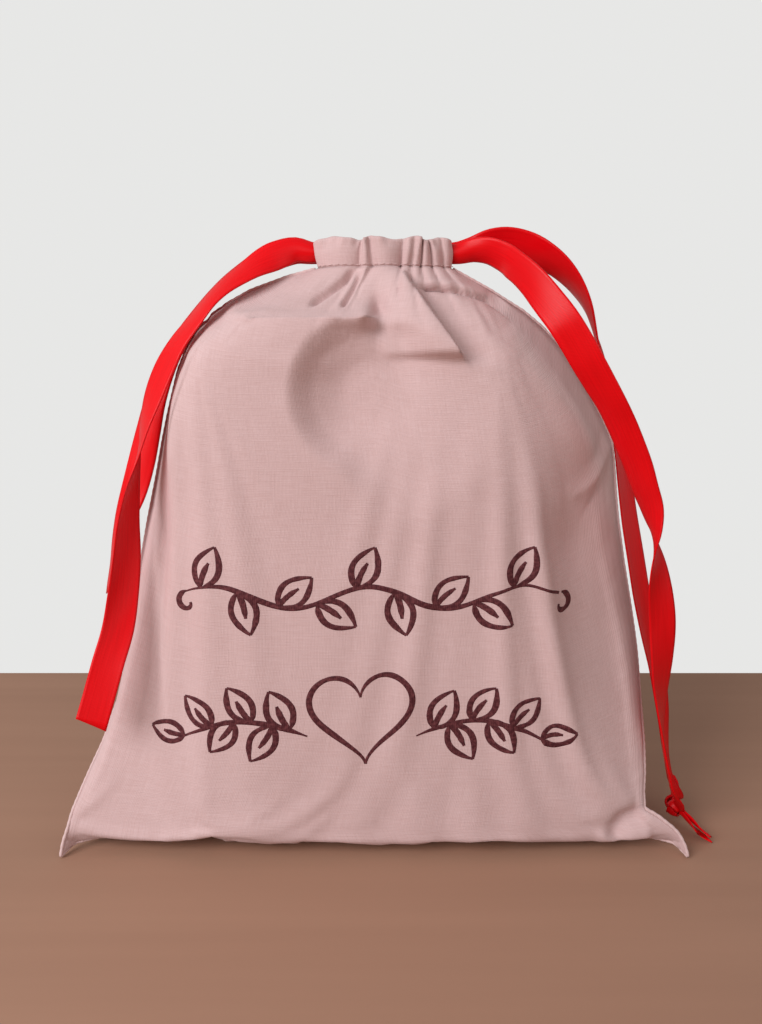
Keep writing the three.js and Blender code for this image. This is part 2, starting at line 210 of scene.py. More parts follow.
# ---------------------------------------------------------------- finishes
class Shader:
    """A node material under construction, with short calls for the nodes that the finishes share."""

    def __init__(self, name: str) -> None:
        """Starts a material with one Principled shader.

        Args:
            name: The material's name.
        """
        self.material = bpy.data.materials.new(name)
        self.material.use_nodes = True
        self.tree = self.material.node_tree
        self.surface = self.tree.nodes["Principled BSDF"]

    def node(self, kind: str, **settings: object) -> bpy.types.Node:
        """Adds a node of that kind, with its settings.

        Args:
            kind: The node's type in Blender.
            settings: Attributes to set on it.

        Returns:
            The node.
        """
        made = self.tree.nodes.new(kind)
        for key, value in settings.items():
            setattr(made, key, value)
        return made

    def join(self, source: bpy.types.NodeSocket, target: bpy.types.NodeSocket) -> None:
        """Links two sockets."""
        self.tree.links.new(source, target)

    def math(self, operation: str, first: object, second: object) -> bpy.types.NodeSocket:
        """Adds a math node on two sockets or numbers.

        Args:
            operation: Blender's name for it.
            first: A socket or a number.
            second: A socket or a number.

        Returns:
            The result.
        """
        made = self.node("ShaderNodeMath", operation=operation)
        for slot, value in enumerate((first, second)):
            if isinstance(value, (int, float)):
                made.inputs[slot].default_value = value
            else:
                self.join(value, made.inputs[slot])
        return made.outputs[0]

    def scaled(self, source: bpy.types.NodeSocket, scale: tuple[float, float, float]) -> bpy.types.NodeSocket:
        """Multiplies coordinates by a scale for each axis.

        Args:
            source: The coordinates.
            scale: The factor on each axis.

        Returns:
            The scaled coordinates.
        """
        made = self.node("ShaderNodeVectorMath", operation="MULTIPLY")
        self.join(source, made.inputs[0])
        made.inputs[1].default_value = scale
        return made.outputs[0]

    def noise(self, source: bpy.types.NodeSocket, scale: float, detail: float) -> bpy.types.NodeSocket:
        """Adds a noise texture and returns its value.

        Args:
            source: The coordinates.
            scale: How fine it is.
            detail: How many finer layers it has.

        Returns:
            The noise.
        """
        made = self.node("ShaderNodeTexNoise")
        self.join(source, made.inputs["Vector"])
        made.inputs["Scale"].default_value = scale
        made.inputs["Detail"].default_value = detail
        return made.outputs["Fac"]

    def wave(
        self, source: bpy.types.NodeSocket, axis: str, pitch: float, wobble: float
    ) -> bpy.types.NodeSocket:
        """Adds parallel bands, one for each thread.

        Args:
            source: Coordinates in metres.
            axis: The axis across the threads, X or Y.
            pitch: Distance between threads, in metres.
            wobble: How unevenly the threads lie.

        Returns:
            The threads' height.
        """
        made = self.node("ShaderNodeTexWave", wave_type="BANDS", bands_direction=axis)
        self.join(source, made.inputs["Vector"])
        made.inputs["Scale"].default_value = WAVE_PERIOD / pitch
        made.inputs["Distortion"].default_value = wobble
        made.inputs["Detail"].default_value = 1.0
        return made.outputs["Fac"]

    def mix(self, share: bpy.types.NodeSocket, first: tuple, second: tuple) -> bpy.types.NodeSocket:
        """Mixes two colours by a share.

        Args:
            share: The second colour's share.
            first: A colour or a socket.
            second: A colour or a socket.

        Returns:
            The mixed colour.
        """
        made = self.node("ShaderNodeMix", data_type="RGBA")
        self.join(share, made.inputs[0])
        for slot, colour in ((6, first), (7, second)):
            if isinstance(colour, tuple):
                made.inputs[slot].default_value = (*colour, 1.0)
            else:
                self.join(colour, made.inputs[slot])
        return made.outputs[2]

    def raise_surface(self, height: bpy.types.NodeSocket, distance: float, strength: float) -> None:
        """Sets the surface's bump from a height.

        Args:
            height: The height.
            distance: What a height of 1 comes to, in metres.
            strength: How much of the bump shows.
        """
        made = self.node("ShaderNodeBump")
        made.inputs["Distance"].default_value = distance
        made.inputs["Strength"].default_value = strength
        self.join(height, made.inputs["Height"])
        self.join(made.outputs["Normal"], self.surface.inputs["Normal"])

    def paint(self, colour: bpy.types.NodeSocket) -> None:
        """Sets the surface's colour."""
        self.join(colour, self.surface.inputs["Base Color"])

    def set(self, **values: float) -> None:
        """Sets numbers on the shader's own sockets, with _ for a space in their names."""
        for key, value in values.items():
            self.surface.inputs[key.replace("_", " ")].default_value = value


WAVE_PERIOD = 0.31416  # a wave texture's bands lie this far apart at scale 1


@dataclass(frozen=True)
class Cotton:
    """Plain-weave cotton with uneven threads."""

    name: str = "cotton"
    light: tuple[float, float, float] = (0.68, 0.495, 0.495)
    deep: tuple[float, float, float] = (0.55, 0.365, 0.352)
    pitch: float = 0.55 * MM
    sheen: float = 0.12

    def build(self) -> bpy.types.Material:
        """Weaves the material on the cloth's own coordinates.

        Returns:
            The material.
        """
        s = Shader(self.name)
        uv = s.node("ShaderNodeUVMap", uv_map="cloth").outputs["UV"]
        warp = s.wave(uv, "X", self.pitch, 1.2)
        weft = s.wave(uv, "Y", self.pitch, 1.2)
        slub_up = s.noise(s.scaled(uv, (1900.0, 110.0, 1.0)), 1.0, 3.0)
        slub_across = s.noise(s.scaled(uv, (110.0, 1900.0, 1.0)), 1.0, 3.0)
        slub = s.math("MULTIPLY", s.math("ADD", slub_up, slub_across), 0.5)
        thread = s.math("MULTIPLY", s.math("ADD", warp, weft), 0.5)
        cloudy = s.noise(uv, 16.0, 3.0)
        share = s.math("ADD", s.math("MULTIPLY", slub, 1.5), s.math("MULTIPLY", cloudy, 0.5))
        share = s.math("SUBTRACT", s.math("ADD", share, s.math("MULTIPLY", thread, 0.22)), 0.68)
        s.paint(s.mix(share, self.deep, self.light))
        height = s.math("ADD", s.math("MULTIPLY", thread, 0.5), slub)
        s.raise_surface(height, 0.22 * MM, 0.55)
        s.set(Roughness=0.93, Sheen_Weight=self.sheen, Sheen_Roughness=0.6, Specular_IOR_Level=0.15)
        return s.material


@dataclass(frozen=True)
class Satin:
    """Red satin ribbon, with fine threads across its sheen."""

    name: str = "satin_ribbon"
    light: tuple[float, float, float] = (0.84, 0.0012, 0.006)
    deep: tuple[float, float, float] = (0.54, 0.0006, 0.002)

    def build(self) -> bpy.types.Material:
        """Makes the material, with U across the ribbon and V along it.

        Returns:
            The material.
        """
        s = Shader(self.name)
        uv = s.node("ShaderNodeUVMap", uv_map="cloth").outputs["UV"]
        twill = s.node("ShaderNodeMapping")
        s.join(uv, twill.inputs["Vector"])
        twill.inputs["Rotation"].default_value = (0.0, 0.0, math.radians(24))
        lines = s.wave(twill.outputs["Vector"], "Y", 0.42 * MM, 0.8)
        streak = s.noise(s.scaled(uv, (2600.0, 60.0, 1.0)), 1.0, 2.0)
        share = s.math("ADD", s.math("MULTIPLY", lines, 0.3), s.math("MULTIPLY", streak, 0.9))
        s.paint(s.mix(share, self.deep, self.light))
        height = s.math("ADD", s.math("MULTIPLY", lines, 0.6), streak)
        s.raise_surface(height, 0.05 * MM, 0.4)
        rough = s.math("ADD", s.math("MULTIPLY", streak, 0.16), 0.27)
        s.join(rough, s.surface.inputs["Roughness"])
        s.set(Specular_IOR_Level=0.20, Anisotropic=0.5)
        return s.material


@dataclass(frozen=True)
class FabricPaint:
    """Burgundy paint brushed on cloth, thin enough for the weave to show."""

    name: str = "fabric_paint"
    dark: tuple[float, float, float] = (0.065, 0.010, 0.014)
    thin: tuple[float, float, float] = (0.20, 0.055, 0.06)

    def build(self) -> bpy.types.Material:
        """Makes the material on the cloth's own coordinates.

        Returns:
            The material.
        """
        s = Shader(self.name)
        uv = s.node("ShaderNodeUVMap", uv_map="cloth").outputs["UV"]
        warp = s.wave(uv, "X", Cotton.pitch, 1.2)
        dry = s.noise(uv, 900.0, 3.0)
        share = s.math("MULTIPLY", s.math("SUBTRACT", dry, 0.42), 2.2)
        s.paint(s.mix(share, self.dark, self.thin))
        s.raise_surface(s.math("ADD", warp, dry), 0.12 * MM, 0.5)
        s.set(Roughness=0.72, Specular_IOR_Level=0.3)
        return s.material


@dataclass(frozen=True)
class Thread:
    """Sewing thread, twisted."""

    name: str = "seam_thread"
    light: tuple[float, float, float] = (0.72, 0.52, 0.51)
    deep: tuple[float, float, float] = (0.58, 0.40, 0.39)

    def build(self) -> bpy.types.Material:
        """Makes the material, twisted along the object's own coordinates.

        Returns:
            The material.
        """
        s = Shader(self.name)
        place = s.node("ShaderNodeTexCoord").outputs["Object"]
        ply = s.noise(place, 2600.0, 2.0)
        s.paint(s.mix(ply, self.deep, self.light))
        s.raise_surface(ply, 0.1 * MM, 0.6)
        s.set(Roughness=0.8, Sheen_Weight=0.2)
        return s.material


@dataclass(frozen=True)
class LabelTape:
    """White satin tape with a faint weave."""

    name: str = "label_tape"
    light: tuple[float, float, float] = (0.88, 0.86, 0.84)
    deep: tuple[float, float, float] = (0.74, 0.71, 0.69)

    def build(self) -> bpy.types.Material:
        """Makes the material.

        Returns:
            The material.
        """
        s = Shader(self.name)
        place = s.node("ShaderNodeTexCoord").outputs["Object"]
        weave = s.wave(place, "Z", 0.35 * MM, 0.6)
        s.paint(s.mix(weave, self.deep, self.light))
        s.raise_surface(weave, 0.06 * MM, 0.5)
        s.set(Roughness=0.5, Sheen_Weight=0.2)
        return s.material


@dataclass(frozen=True)
class Paperboard:
    """Plain brown board of the gift's carton."""

    name: str = "carton"
    light: tuple[float, float, float] = (0.47, 0.34, 0.22)
    deep: tuple[float, float, float] = (0.34, 0.23, 0.14)

    def build(self) -> bpy.types.Material:
        """Makes the material, flecked with fibres.

        Returns:
            The material.
        """
        s = Shader(self.name)
        place = s.node("ShaderNodeTexCoord").outputs["Object"]
        fibre = s.noise(s.scaled(place, (300.0, 300.0, 1400.0)), 1.0, 4.0)
        s.paint(s.mix(fibre, self.deep, self.light))
        s.raise_surface(fibre, 0.08 * MM, 0.4)
        s.set(Roughness=0.85)
        return s.material


# ---------------------------------------------------------------- the cloth
@dataclass
class Cloth:
    """The sack's cloth: one closed grid of both panels, in its cut layout and in space.

    Columns go round from the left seam over the front to the right seam and back over the back panel.
    Rows go up from the bottom seam to the casing.
    """

    width: float = 200 * MM
    height: float = 222 * MM
    gathered: float = 118 * MM  # cloth taken into each panel's pleats at the neck
    columns: int = 92
    rows: int = 96
    neck_x: float = 3 * MM
    neck_half: tuple[float, float] = (21.5 * MM, 7.2 * MM)
    neck_height: float = 184.5 * MM
    points: np.ndarray = field(default_factory=lambda: np.zeros(0))

    # Folds that fan out from the neck over the front, (x, z) each, in millimetres.
    NECK_FOLD_LEFT = ((-4.5, 187.0), (-9.0, 180.0), (-20.0, 171.5))
    NECK_FOLD_MIDDLE = ((-3.0, 186.0), (-6.0, 178.5), (-10.0, 171.0))
    ROOF_FOLD = ((11.5, 178.0), (24.0, 177.0), (34.0, 174.6), (44.0, 168.0), (54.0, 160.0))
    # Valleys between the neck's pleats, as shares across it.
    FRONT_VALLEYS = (-1.0, -0.34, -0.19, 0.24, 0.38, 0.52, 0.68, 0.85, 1.0)
    BACK_VALLEYS = (-1.0, -0.8, -0.61, -0.43, -0.2, -0.02, 0.17, 0.4, 0.58, 0.79, 1.0)

    # Height, left edge, right edge and seam line of the sack, in millimetres.
    EDGES = np.array([
        (0.4, -100.3, 100, -28), (4, -99.9, 99.2, -27), (8, -99.2, 97.2, -25.5),
        (11.5, -98.4, 92.5, -24), (14, -97.6, 87.6, -22.5), (18, -96, 87.6, -20),
        (24, -93.6, 88.6, -17), (32.4, -90, 89.2, -12.5), (45, -86.2, 89.1, -7), (60, -83.2, 88.4, -3),
        (74, -80, 86.3, -1), (91, -78.2, 83, 0), (104, -75.3, 80.6, 0), (121, -71.2, 78.6, 0),
        (131, -69, 77.4, 0), (139, -67, 73.2, 0), (153.5, -63, 64.2, 0), (161, -59.8, 59, 0),
        (167, -56, 53.2, 0), (172, -50.5, 47, 0), (178.2, -39, 36.5, 0), (182.4, -27, 28.5, 0),
        (184.5, -18.5, 24.5, 0),
    ])
    # Depth and height up the middle of the front panel, where the gift's edge shows and where it
    # doesn't, and up the back.
    CRISP_PATH = np.array([
        (-16, 3.4), (-24, 3.5), (-27.2, 6), (-28.4, 13), (-28, 60), (-27.4, 120), (-26.6, 160), (-26.6, 169.0),
        (-26.0, 169.9), (-24.6, 169.9), (-20, 171.0), (-14.5, 174.6), (-10, 179.8), (-7.2, 184.5),
    ])
    ROUND_PATH = np.array([
        (-16, 3.4), (-24, 3.5), (-27.2, 6), (-28.4, 13), (-28, 60), (-27.6, 120), (-26.6, 148), (-25, 158),
        (-22.4, 166), (-18.2, 172.6), (-13.2, 178.6), (-9, 182.8), (-7.2, 184.5),
    ])
    BACK_PATH = np.array([
        (-16, 3.4), (20, 0.8), (26, 3), (28.5, 12), (28.5, 60), (28, 120), (26, 160), (23.5, 168.5),
        (19, 173), (12, 180), (8.5, 183.2), (7.2, 184.5),
    ])

    @property
    def around(self) -> int:
        """Number of columns in the whole ring."""
        return 2 * self.columns

    def column(self, number: int) -> tuple[Sheet, float]:
        """The panel of a ring column, and its share across from -1 at the left to 1 at the right."""
        if number <= self.columns:
            return Sheet.FRONT, 2 * number / self.columns - 1
        return Sheet.BACK, 1 - 2 * (number - self.columns) / self.columns

    def path(self, table: np.ndarray, share: np.ndarray) -> np.ndarray:
        """Reads a polyline at shares of its length.

        Args:
            table: The polyline's points, one row each.
            share: Shares of its length.

        Returns:
            The point at each share.
        """
        lengths = np.concatenate([[0], np.cumsum(np.linalg.norm(np.diff(table, axis=0), axis=1))])
        at = share * lengths[-1]
        return np.stack([np.interp(at, lengths, table[:, k]) for k in range(table.shape[1])], axis=-1)

    def flat_width(self, share: np.ndarray | float) -> np.ndarray | float:
        """Width of cloth in a panel at a share of its height: the pleats at the neck take some in."""
        return self.width + (self.gathered - self.width) * smooth(0.62, 1.0, share)

    def pleat(self, spread: np.ndarray | float, sheet: Sheet) -> np.ndarray | float:
        """Depth of the neck's pleats in millimetres, outwards, with narrow valleys between round crests.

        Args:
            spread: Share across the neck, from -1 to 1.
            sheet: The panel.

        Returns:
            The distance outwards from the neck's ellipse.
        """
        valleys = np.array(self.FRONT_VALLEYS if sheet is Sheet.FRONT else self.BACK_VALLEYS)
        spread = np.clip(spread, -0.9999, 0.9999)
        number = np.clip(np.searchsorted(valleys, spread) - 1, 0, len(valleys) - 2)
        width = valleys[number + 1] - valleys[number]
        inside = (spread - valleys[number]) / width
        crest = np.abs(np.sin(math.pi * inside)) ** 0.6
        return np.minimum(0.9 + 7.5 * width, 2.9) * (crest - 0.6)

    def place(self) -> None:
        """Lays the grid round the gift as a first guess for the simulation."""
        share = np.linspace(0.0, 1.0, self.rows)
        edge = self.path(self.EDGES[:, [1, 2, 3, 0]], share)
        crisp = self.path(self.CRISP_PATH, share)
        rounded = self.path(self.ROUND_PATH, share)
        back = self.path(self.BACK_PATH, share)
        grid = np.zeros((self.rows, self.around, 3))
        for c in range(self.around):
            sheet, across = self.column(c)
            soft = smooth(-0.02, 0.22, across)
            middle = crisp + (rounded - crisp) * soft if sheet is Sheet.FRONT else back
            neck = smooth(0.86, 1.0, share)
            spread = across + (math.sin(across * math.pi / 2) - across) * neck
            corner = 4.5 if across < 0 and sheet is Sheet.FRONT else 0.6
            squareness = 3.0 + corner * bump(share, 0.74, 0.12) - 1.0 * neck
            reach = np.maximum(1.0 - np.abs(spread) ** squareness, 0.0) ** (1.0 / squareness)
            centre = (edge[:, 0] + edge[:, 1]) / 2
            half = (edge[:, 1] - edge[:, 0]) / 2
            grid[:, c, 0] = centre + half * spread
            grid[:, c, 1] = edge[:, 2] + (middle[:, 0] - edge[:, 2]) * reach
            grid[:, c, 2] = edge[:, 3] + (middle[:, 1] - edge[:, 3]) * reach
            ease = max(math.cos(across * math.pi / 2), 0.0) ** 0.5
            fold = self.pleat(spread, sheet) * smooth(0.82, 1.0, share) * ease
            grid[:, c, 1] += sheet.value * fold
        self.points = grid * MM

    def flat(self) -> np.ndarray:
        """The grid in its cut layout, with the back panel behind the front one.

        Returns:
            The grid's points, in metres.
        """
        share = np.linspace(0.0, 1.0, self.rows)
        laid = np.zeros((self.rows, self.around, 3))
        for c in range(self.around):
            sheet, across = self.column(c)
            laid[:, c, 0] = across * self.flat_width(share) / 2
            laid[:, c, 1] = sheet.value * 0.2 * MM * (1 - abs(across))
            laid[:, c, 2] = share * self.height
        return laid

    def cut(self, sheet: Sheet) -> np.ndarray:
        """Places of one panel's grid points on its flat cloth, across and up.

        Args:
            sheet: The panel.

        Returns:
            An (across, up) pair for each point, in metres.
        """
        share = np.linspace(0.0, 1.0, self.rows)[:, None]
        across = np.linspace(-0.5, 0.5, self.columns + 1)[None, :] * self.flat_width(share)
        up = share * self.height + 0 * across
        return np.stack([across + (1 + sheet.value) * self.width, up], axis=-1)

    def ring_faces(self) -> list[tuple[int, int, int, int]]:
        """Quads of the closed ring grid."""
        n = self.around
        return [
            (r * n + c, r * n + (c + 1) % n, (r + 1) * n + (c + 1) % n, (r + 1) * n + c)
            for r in range(self.rows - 1)
            for c in range(n)
        ]

    def weld_bottom(self) -> None:
        """Brings the bottom rows of the two panels together in the bottom seam."""
        for c in range(1, self.columns):
            mate = self.around - c
            meet = (self.points[0, c] + self.points[0, mate]) / 2
            self.points[0, c] = meet
            self.points[0, mate] = meet

    def panel(self, sheet: Sheet) -> np.ndarray:
        """The grid of one panel, left to right seen from the front.

        Args:
            sheet: The panel.

        Returns:
            Its points, row by row.
        """
        if sheet is Sheet.FRONT:
            return self.points[:, : self.columns + 1]
        ring = np.concatenate([self.points[:, self.columns:], self.points[:, :1]], axis=1)
        return ring[:, ::-1]

    def refine(self) -> None:
        """Doubles the grid's columns and rows along smooth curves through its points."""
        for axis in (1, 0):
            whole = np.moveaxis(self.points, axis, 0)
            if axis == 1:
                before, after, second = np.roll(whole, 1, 0), np.roll(whole, -1, 0), np.roll(whole, -2, 0)
            else:
                padded = np.concatenate([2 * whole[:1] - whole[1:2], whole, 2 * whole[-1:] - whole[-2:-1]])
                before, after, second = padded[:-3], padded[2:-1], padded[3:]
                whole_low = whole[:-1]
            here = whole if axis == 1 else whole_low
            middle = (9 * (here + after) - before - second) / 16
            if axis == 1:
                fine = np.stack([whole, middle], axis=1).reshape(-1, *whole.shape[1:])
            else:
                fine = np.zeros((2 * len(whole) - 1, *whole.shape[1:]))
                fine[::2], fine[1::2] = whole, middle
            self.points = np.moveaxis(fine, 0, axis)
        self.columns *= 2
        self.rows = 2 * self.rows - 1

    def crease(self, x: np.ndarray, z: np.ndarray, line: tuple, width: float, depth: float) -> np.ndarray:
        """A valley along a line across the front, fading towards both of its ends.

        Args:
            x: Places across, in millimetres.
            z: Heights, in millimetres.
            line: The valley's points, (x, z) each.
            width: Its half width.
            depth: Its depth.

        Returns:
            The push inwards at each place, in millimetres.
        """
        points = np.array(line, float)
        sizes = np.linalg.norm(np.diff(points, axis=0), axis=1)
        whole, done = sizes.sum(), 0.0
        push = np.zeros_like(x)
        for start, end, size in zip(points[:-1], points[1:], sizes):
            way = (end - start) / size
            at = np.clip((x - start[0]) * way[0] + (z - start[1]) * way[1], 0, size)
            off = np.hypot(x - start[0] - way[0] * at, z - start[1] - way[1] * at)
            share = (done + at) / whole
            fade = smooth(0.0, 0.12, share) * (1 - smooth(0.82, 1.0, share))
            push = np.maximum(push, np.exp(-((off / width) ** 2)) * fade)
            done += size
        return push * depth

    def shape_front(self) -> None:
        """Presses in the hollow, the flap and the folds that the loose front cloth lies in."""
        front = self.points[:, : self.columns + 1] / MM
        x, y, z = front[..., 0], front[..., 1], front[..., 2]
        share = np.linspace(0.0, 1.0, self.rows)[:, None] * np.ones_like(x)
        push = np.zeros_like(x)
        # The hollow under the flap: steep at its upper left, easing out to the lower right.
        hx, hz = x + 1.0, z - 146.5
        turn = math.radians(35)
        along = hx * math.cos(turn) - hz * math.sin(turn)
        reach = np.hypot(hx, hz) / (1 + 0.65 * smooth(2.0, 30.0, along))
        depth = np.clip((25.0 - reach) / 21.0, 0.0, 1.0)
        hollow = 0.65 * smooth(0.0, 0.85, depth) + 0.35 * smooth(0.0, 0.4, depth)
        hollow = hollow * (1 - 0.62 * smooth(-9.0, 34.0, along))
        push += 8.2 * hollow * (1 - smooth(164.5, 169.5, z))
        # The flap: a loose cone from the neck down to a point, proud of the roof on its right.
        edge_x = 6.5 + (186.0 - z) * 0.68
        left_x = 2.6 + (186.0 - z) * 0.02
        within = smooth(left_x - 3.0, left_x + 3.0, x) * (1 - smooth(edge_x - 0.7, edge_x + 0.7, x))
        tall = smooth(156.0, 158.4, z) * (1 - smooth(178.0, 187.0, z))
        push -= 4.8 * within * tall * (0.30 + 0.70 * smooth(left_x, edge_x, x))
        beside = smooth(edge_x - 0.6, edge_x + 0.8, x) * (1 - smooth(edge_x + 1.5, edge_x + 13.0, x))
        push += 3.9 * beside * smooth(153.0, 160.0, z) * (1 - smooth(172.0, 184.0, z))
        # The pocket where the gift's edge runs into the flap.
        push += 6.5 * bump(x, 1.6, 3.2) * bump(z, 169.5, 5.0)
        # The firm edge of the gift under the cloth at the left, and the lip at its end.
        firm = smooth(-52.0, -46.0, x) * (1 - smooth(-1.5, 0.5, x))
        push -= 0.9 * bump(z, 169.3, 1.3) * firm + 1.3 * bump(x, -2.2, 2.2) * bump(z, 169.6, 1.7)
        sink = 1.6 * bump(y, -22.6, 2.0) * smooth(168.0, 169.6, z) * firm
        sink += 1.6 * self.crease(x, z, self.NECK_FOLD_LEFT, 0.9, 1.0)
        sink += 1.6 * self.crease(x, z, self.NECK_FOLD_MIDDLE, 0.8, 1.0)
        sink += 1.2 * self.crease(x, z, ((12.0, 178.6), (24.0, 177.4), (34.0, 175.0), (44.0, 168.6)), 0.9, 1.0)
        # Narrow pleats that fan over the roof.
        push += self.crease(x, z, self.NECK_FOLD_LEFT, 0.9, 1.5)
        push += self.crease(x, z, self.NECK_FOLD_MIDDLE, 0.8, 1.5)
        push += self.crease(x, z, self.ROOF_FOLD, 1.0, 2.6)
        push -= self.crease(x, z, ((13.0, 179.6), (25.0, 178.6), (35.0, 176.2), (45.0, 170.0)), 1.3, 1.6)
        push += self.crease(x, z, ((7.0, 157.0), (25.0, 156.4), (36.0, 158.8), (42.0, 159.4)), 1.6, 0.35)
        # Slack folds low down and at the right.
        low = bump(z, 16.0, 15.0)
        right = np.sin(x * 0.33 + 0.6) * bump(x, 22.0, 26.0)
        left = 0.6 * np.sin(x * 0.21) * bump(x, -45.0, 24.0)
        push += 0.6 * low * (right + left)
        slant = (x - 62.0) * 0.55 + (z - 92.0) * 0.84
        push += 0.8 * np.sin(slant * 0.30) * bump(x, 64.0, 13.0) * bump(z, 98.0, 34.0)
        # The right ear folds in beside its tip.
        push += self.crease(x, z, ((86.5, 13.0), (80.0, 11.0), (76.0, 4.0)), 3.0, 3.2)
        push -= self.crease(x, z, ((90.0, 6.0), (78.0, 4.5), (70.0, 5.5)), 3.0, 1.2)
        fade = smooth(0.0, 0.03, share) * (1 - smooth(0.985, 1.0, share))
        front[..., 1] = y + push * fade
        front[..., 2] = z - sink * fade
        self.points[:, : self.columns + 1] = front * MM

    def clear_box(self, low: Vector, high: Vector) -> None:
        """Moves cloth that lies inside a box out through the box's nearest side.

        Args:
            low: The box's lower corner, in metres.
            high: Its upper corner.
        """
        low, high = np.array(low), np.array(high)
        room = np.concatenate([self.points - low, high - self.points], axis=-1)
        inside = (room > 0).all(axis=-1)
        side = room.argmin(axis=-1)
        for number in range(6):
            axis = number % 3
            limit = low[axis] if number < 3 else high[axis]
            self.points[..., axis] = np.where(inside & (side == number), limit, self.points[..., axis])
        LOG.info("cleared %d points of cloth from the gift", int(inside.sum()))


# ---------------------------------------------------------------- settling the cloth
@dataclass
class Settling:
    """A cloth simulation that settles the sack round the gift, run at ten times life size."""

    scale: float = 10.0
    frames: int = 28
    quality: int = 5
    slack: float = 0.8  # share of the settled drape that the stiffened cloth takes

    def collider(self, name: str, low: Vector, high: Vector, bevel: float) -> bpy.types.Object:
        """A box that the cloth rests on.

        Args:
            name: The box's name.
            low: Its lowest corner, in metres.
            high: Its highest corner.
            bevel: How wide its edges are rounded, in metres.

        Returns:
            The box.
        """
        bpy.ops.mesh.primitive_cube_add(size=1.0, location=(low + high) / 2 * self.scale)
        box = bpy.context.active_object
        box.name = name
        box.scale = (high - low) * self.scale
        bpy.ops.object.transform_apply(location=False, rotation=False, scale=True)
        if bevel > 0:
            soft = box.modifiers.new("bevel", "BEVEL")
            soft.width = bevel * self.scale
            soft.segments = 3
            apply_modifiers(box)
        box.modifiers.new("collision", "COLLISION")
        box.collision.thickness_outer = 0.006
        box.collision.cloth_friction = 12.0
        return box

    def run(self, cloth: Cloth, gift_low: Vector, gift_high: Vector) -> None:
        """Runs the simulation and puts its result into the cloth's grid.

        Args:
            cloth: The placed cloth.
            gift_low: Lowest corner of the padded gift.
            gift_high: Highest corner of the padded gift.
        """
        placeholder = bpy.data.materials.new("settling")
        start = cloth.points.reshape(-1, 3) * self.scale
        body = new_object("settling_cloth", start, cloth.ring_faces(), placeholder)
        body.shape_key_add(name="Basis")
        rest = body.shape_key_add(name="cut")
        rest.data.foreach_set("co", (cloth.flat().reshape(-1, 3) * self.scale).astype(np.float32).ravel())
        n = cloth.around
        pins = body.vertex_groups.new(name="pins")
        last = (cloth.rows - 1) * n
        pins.add(list(range(last - n, last + n)), 1.0, "REPLACE")
        pins.add([0, cloth.columns, n, n + cloth.columns], 1.0, "REPLACE")
        pins.add(list(range(1, cloth.columns)), 0.9, "REPLACE")
        pins.add(list(range(cloth.columns + 1, n)), 0.9, "REPLACE")
        for r in range(2, cloth.rows - 2):
            pins.add([r * n, r * n + cloth.columns], 0.75, "REPLACE")
        gift = self.collider("settling_gift", gift_low, gift_high, 7.0 * MM)
        floor_low, floor_high = Vector((-0.2, -0.1, -0.02)), Vector((0.2, 0.1, 0.0))
        floor = self.collider("settling_floor", floor_low, floor_high, 0.0)
        soft = body.modifiers.new("cloth", "CLOTH")
        s = soft.settings
        s.quality = self.quality
        s.mass = 0.25
        s.tension_stiffness = 25
        s.compression_stiffness = 12
        s.shear_stiffness = 6
        s.bending_stiffness = 0.9
        s.air_damping = 2.0
        s.vertex_group_mass = "pins"
        s.pin_stiffness = 1.0
        s.rest_shape_key = rest
        s.use_dynamic_mesh = False
        soft.collision_settings.distance_min = 0.008
        soft.collision_settings.collision_quality = 3
        soft.collision_settings.use_self_collision = False
        scene = bpy.context.scene
        scene.frame_start, scene.frame_end = 1, self.frames + 1
        soft.point_cache.frame_start, soft.point_cache.frame_end = 1, self.frames + 1
        for frame in range(1, self.frames + 1):
            scene.frame_set(frame)
        graph = bpy.context.evaluated_depsgraph_get()
        settled = body.evaluated_get(graph).data
        co = np.zeros(len(settled.vertices) * 3, np.float32)
        settled.vertices.foreach_get("co", co)
        settled_points = co.reshape(cloth.points.shape).astype(float) / self.scale
        share = np.linspace(0.0, 1.0, cloth.rows)[:, None, None]
        keep = self.slack * (1 - 0.72 * smooth(0.50, 0.72, share))
        cloth.points = cloth.points + (settled_points - cloth.points) * keep
        for helper in (body, gift, floor):
            bpy.data.objects.remove(helper)
        scene.frame_set(1)


# ---------------------------------------------------------------- ribbons
def smooth_route(route: np.ndarray, step: float) -> np.ndarray:
    """Points along a smooth curve through a route's points, with every other column carried along.

    Args:
        route: One row for each point, x, y, z first.
        step: Distance between the new points.

    Returns:
        The same columns at equal steps.
    """
    knots = np.concatenate([[0], np.cumsum(np.linalg.norm(np.diff(route[:, :3], axis=0), axis=1))])
    slope = np.gradient(route, knots, axis=0)
    at = np.linspace(0, knots[-1], max(4, round(knots[-1] / step)) + 1)
    number = np.clip(np.searchsorted(knots, at, side="right") - 1, 0, len(route) - 2)
    span = (knots[number + 1] - knots[number])[:, None]
    s = (at - knots[number])[:, None] / span
    start, end = route[number], route[number + 1]
    pull = (s**3 - 2 * s**2 + s) * span * slope[number] + (s**3 - s**2) * span * slope[number + 1]
    return (2 * s**3 - 3 * s**2 + 1) * start + (3 * s**2 - 2 * s**3) * end + pull


def unit(rows: np.ndarray) -> np.ndarray:
    """Scales each row to length 1."""
    return rows / np.maximum(np.linalg.norm(rows, axis=-1, keepdims=True), 1e-12)


def tangents(centres: np.ndarray) -> np.ndarray:
    """Directions along a line of points."""
    return unit(np.gradient(centres, axis=0))


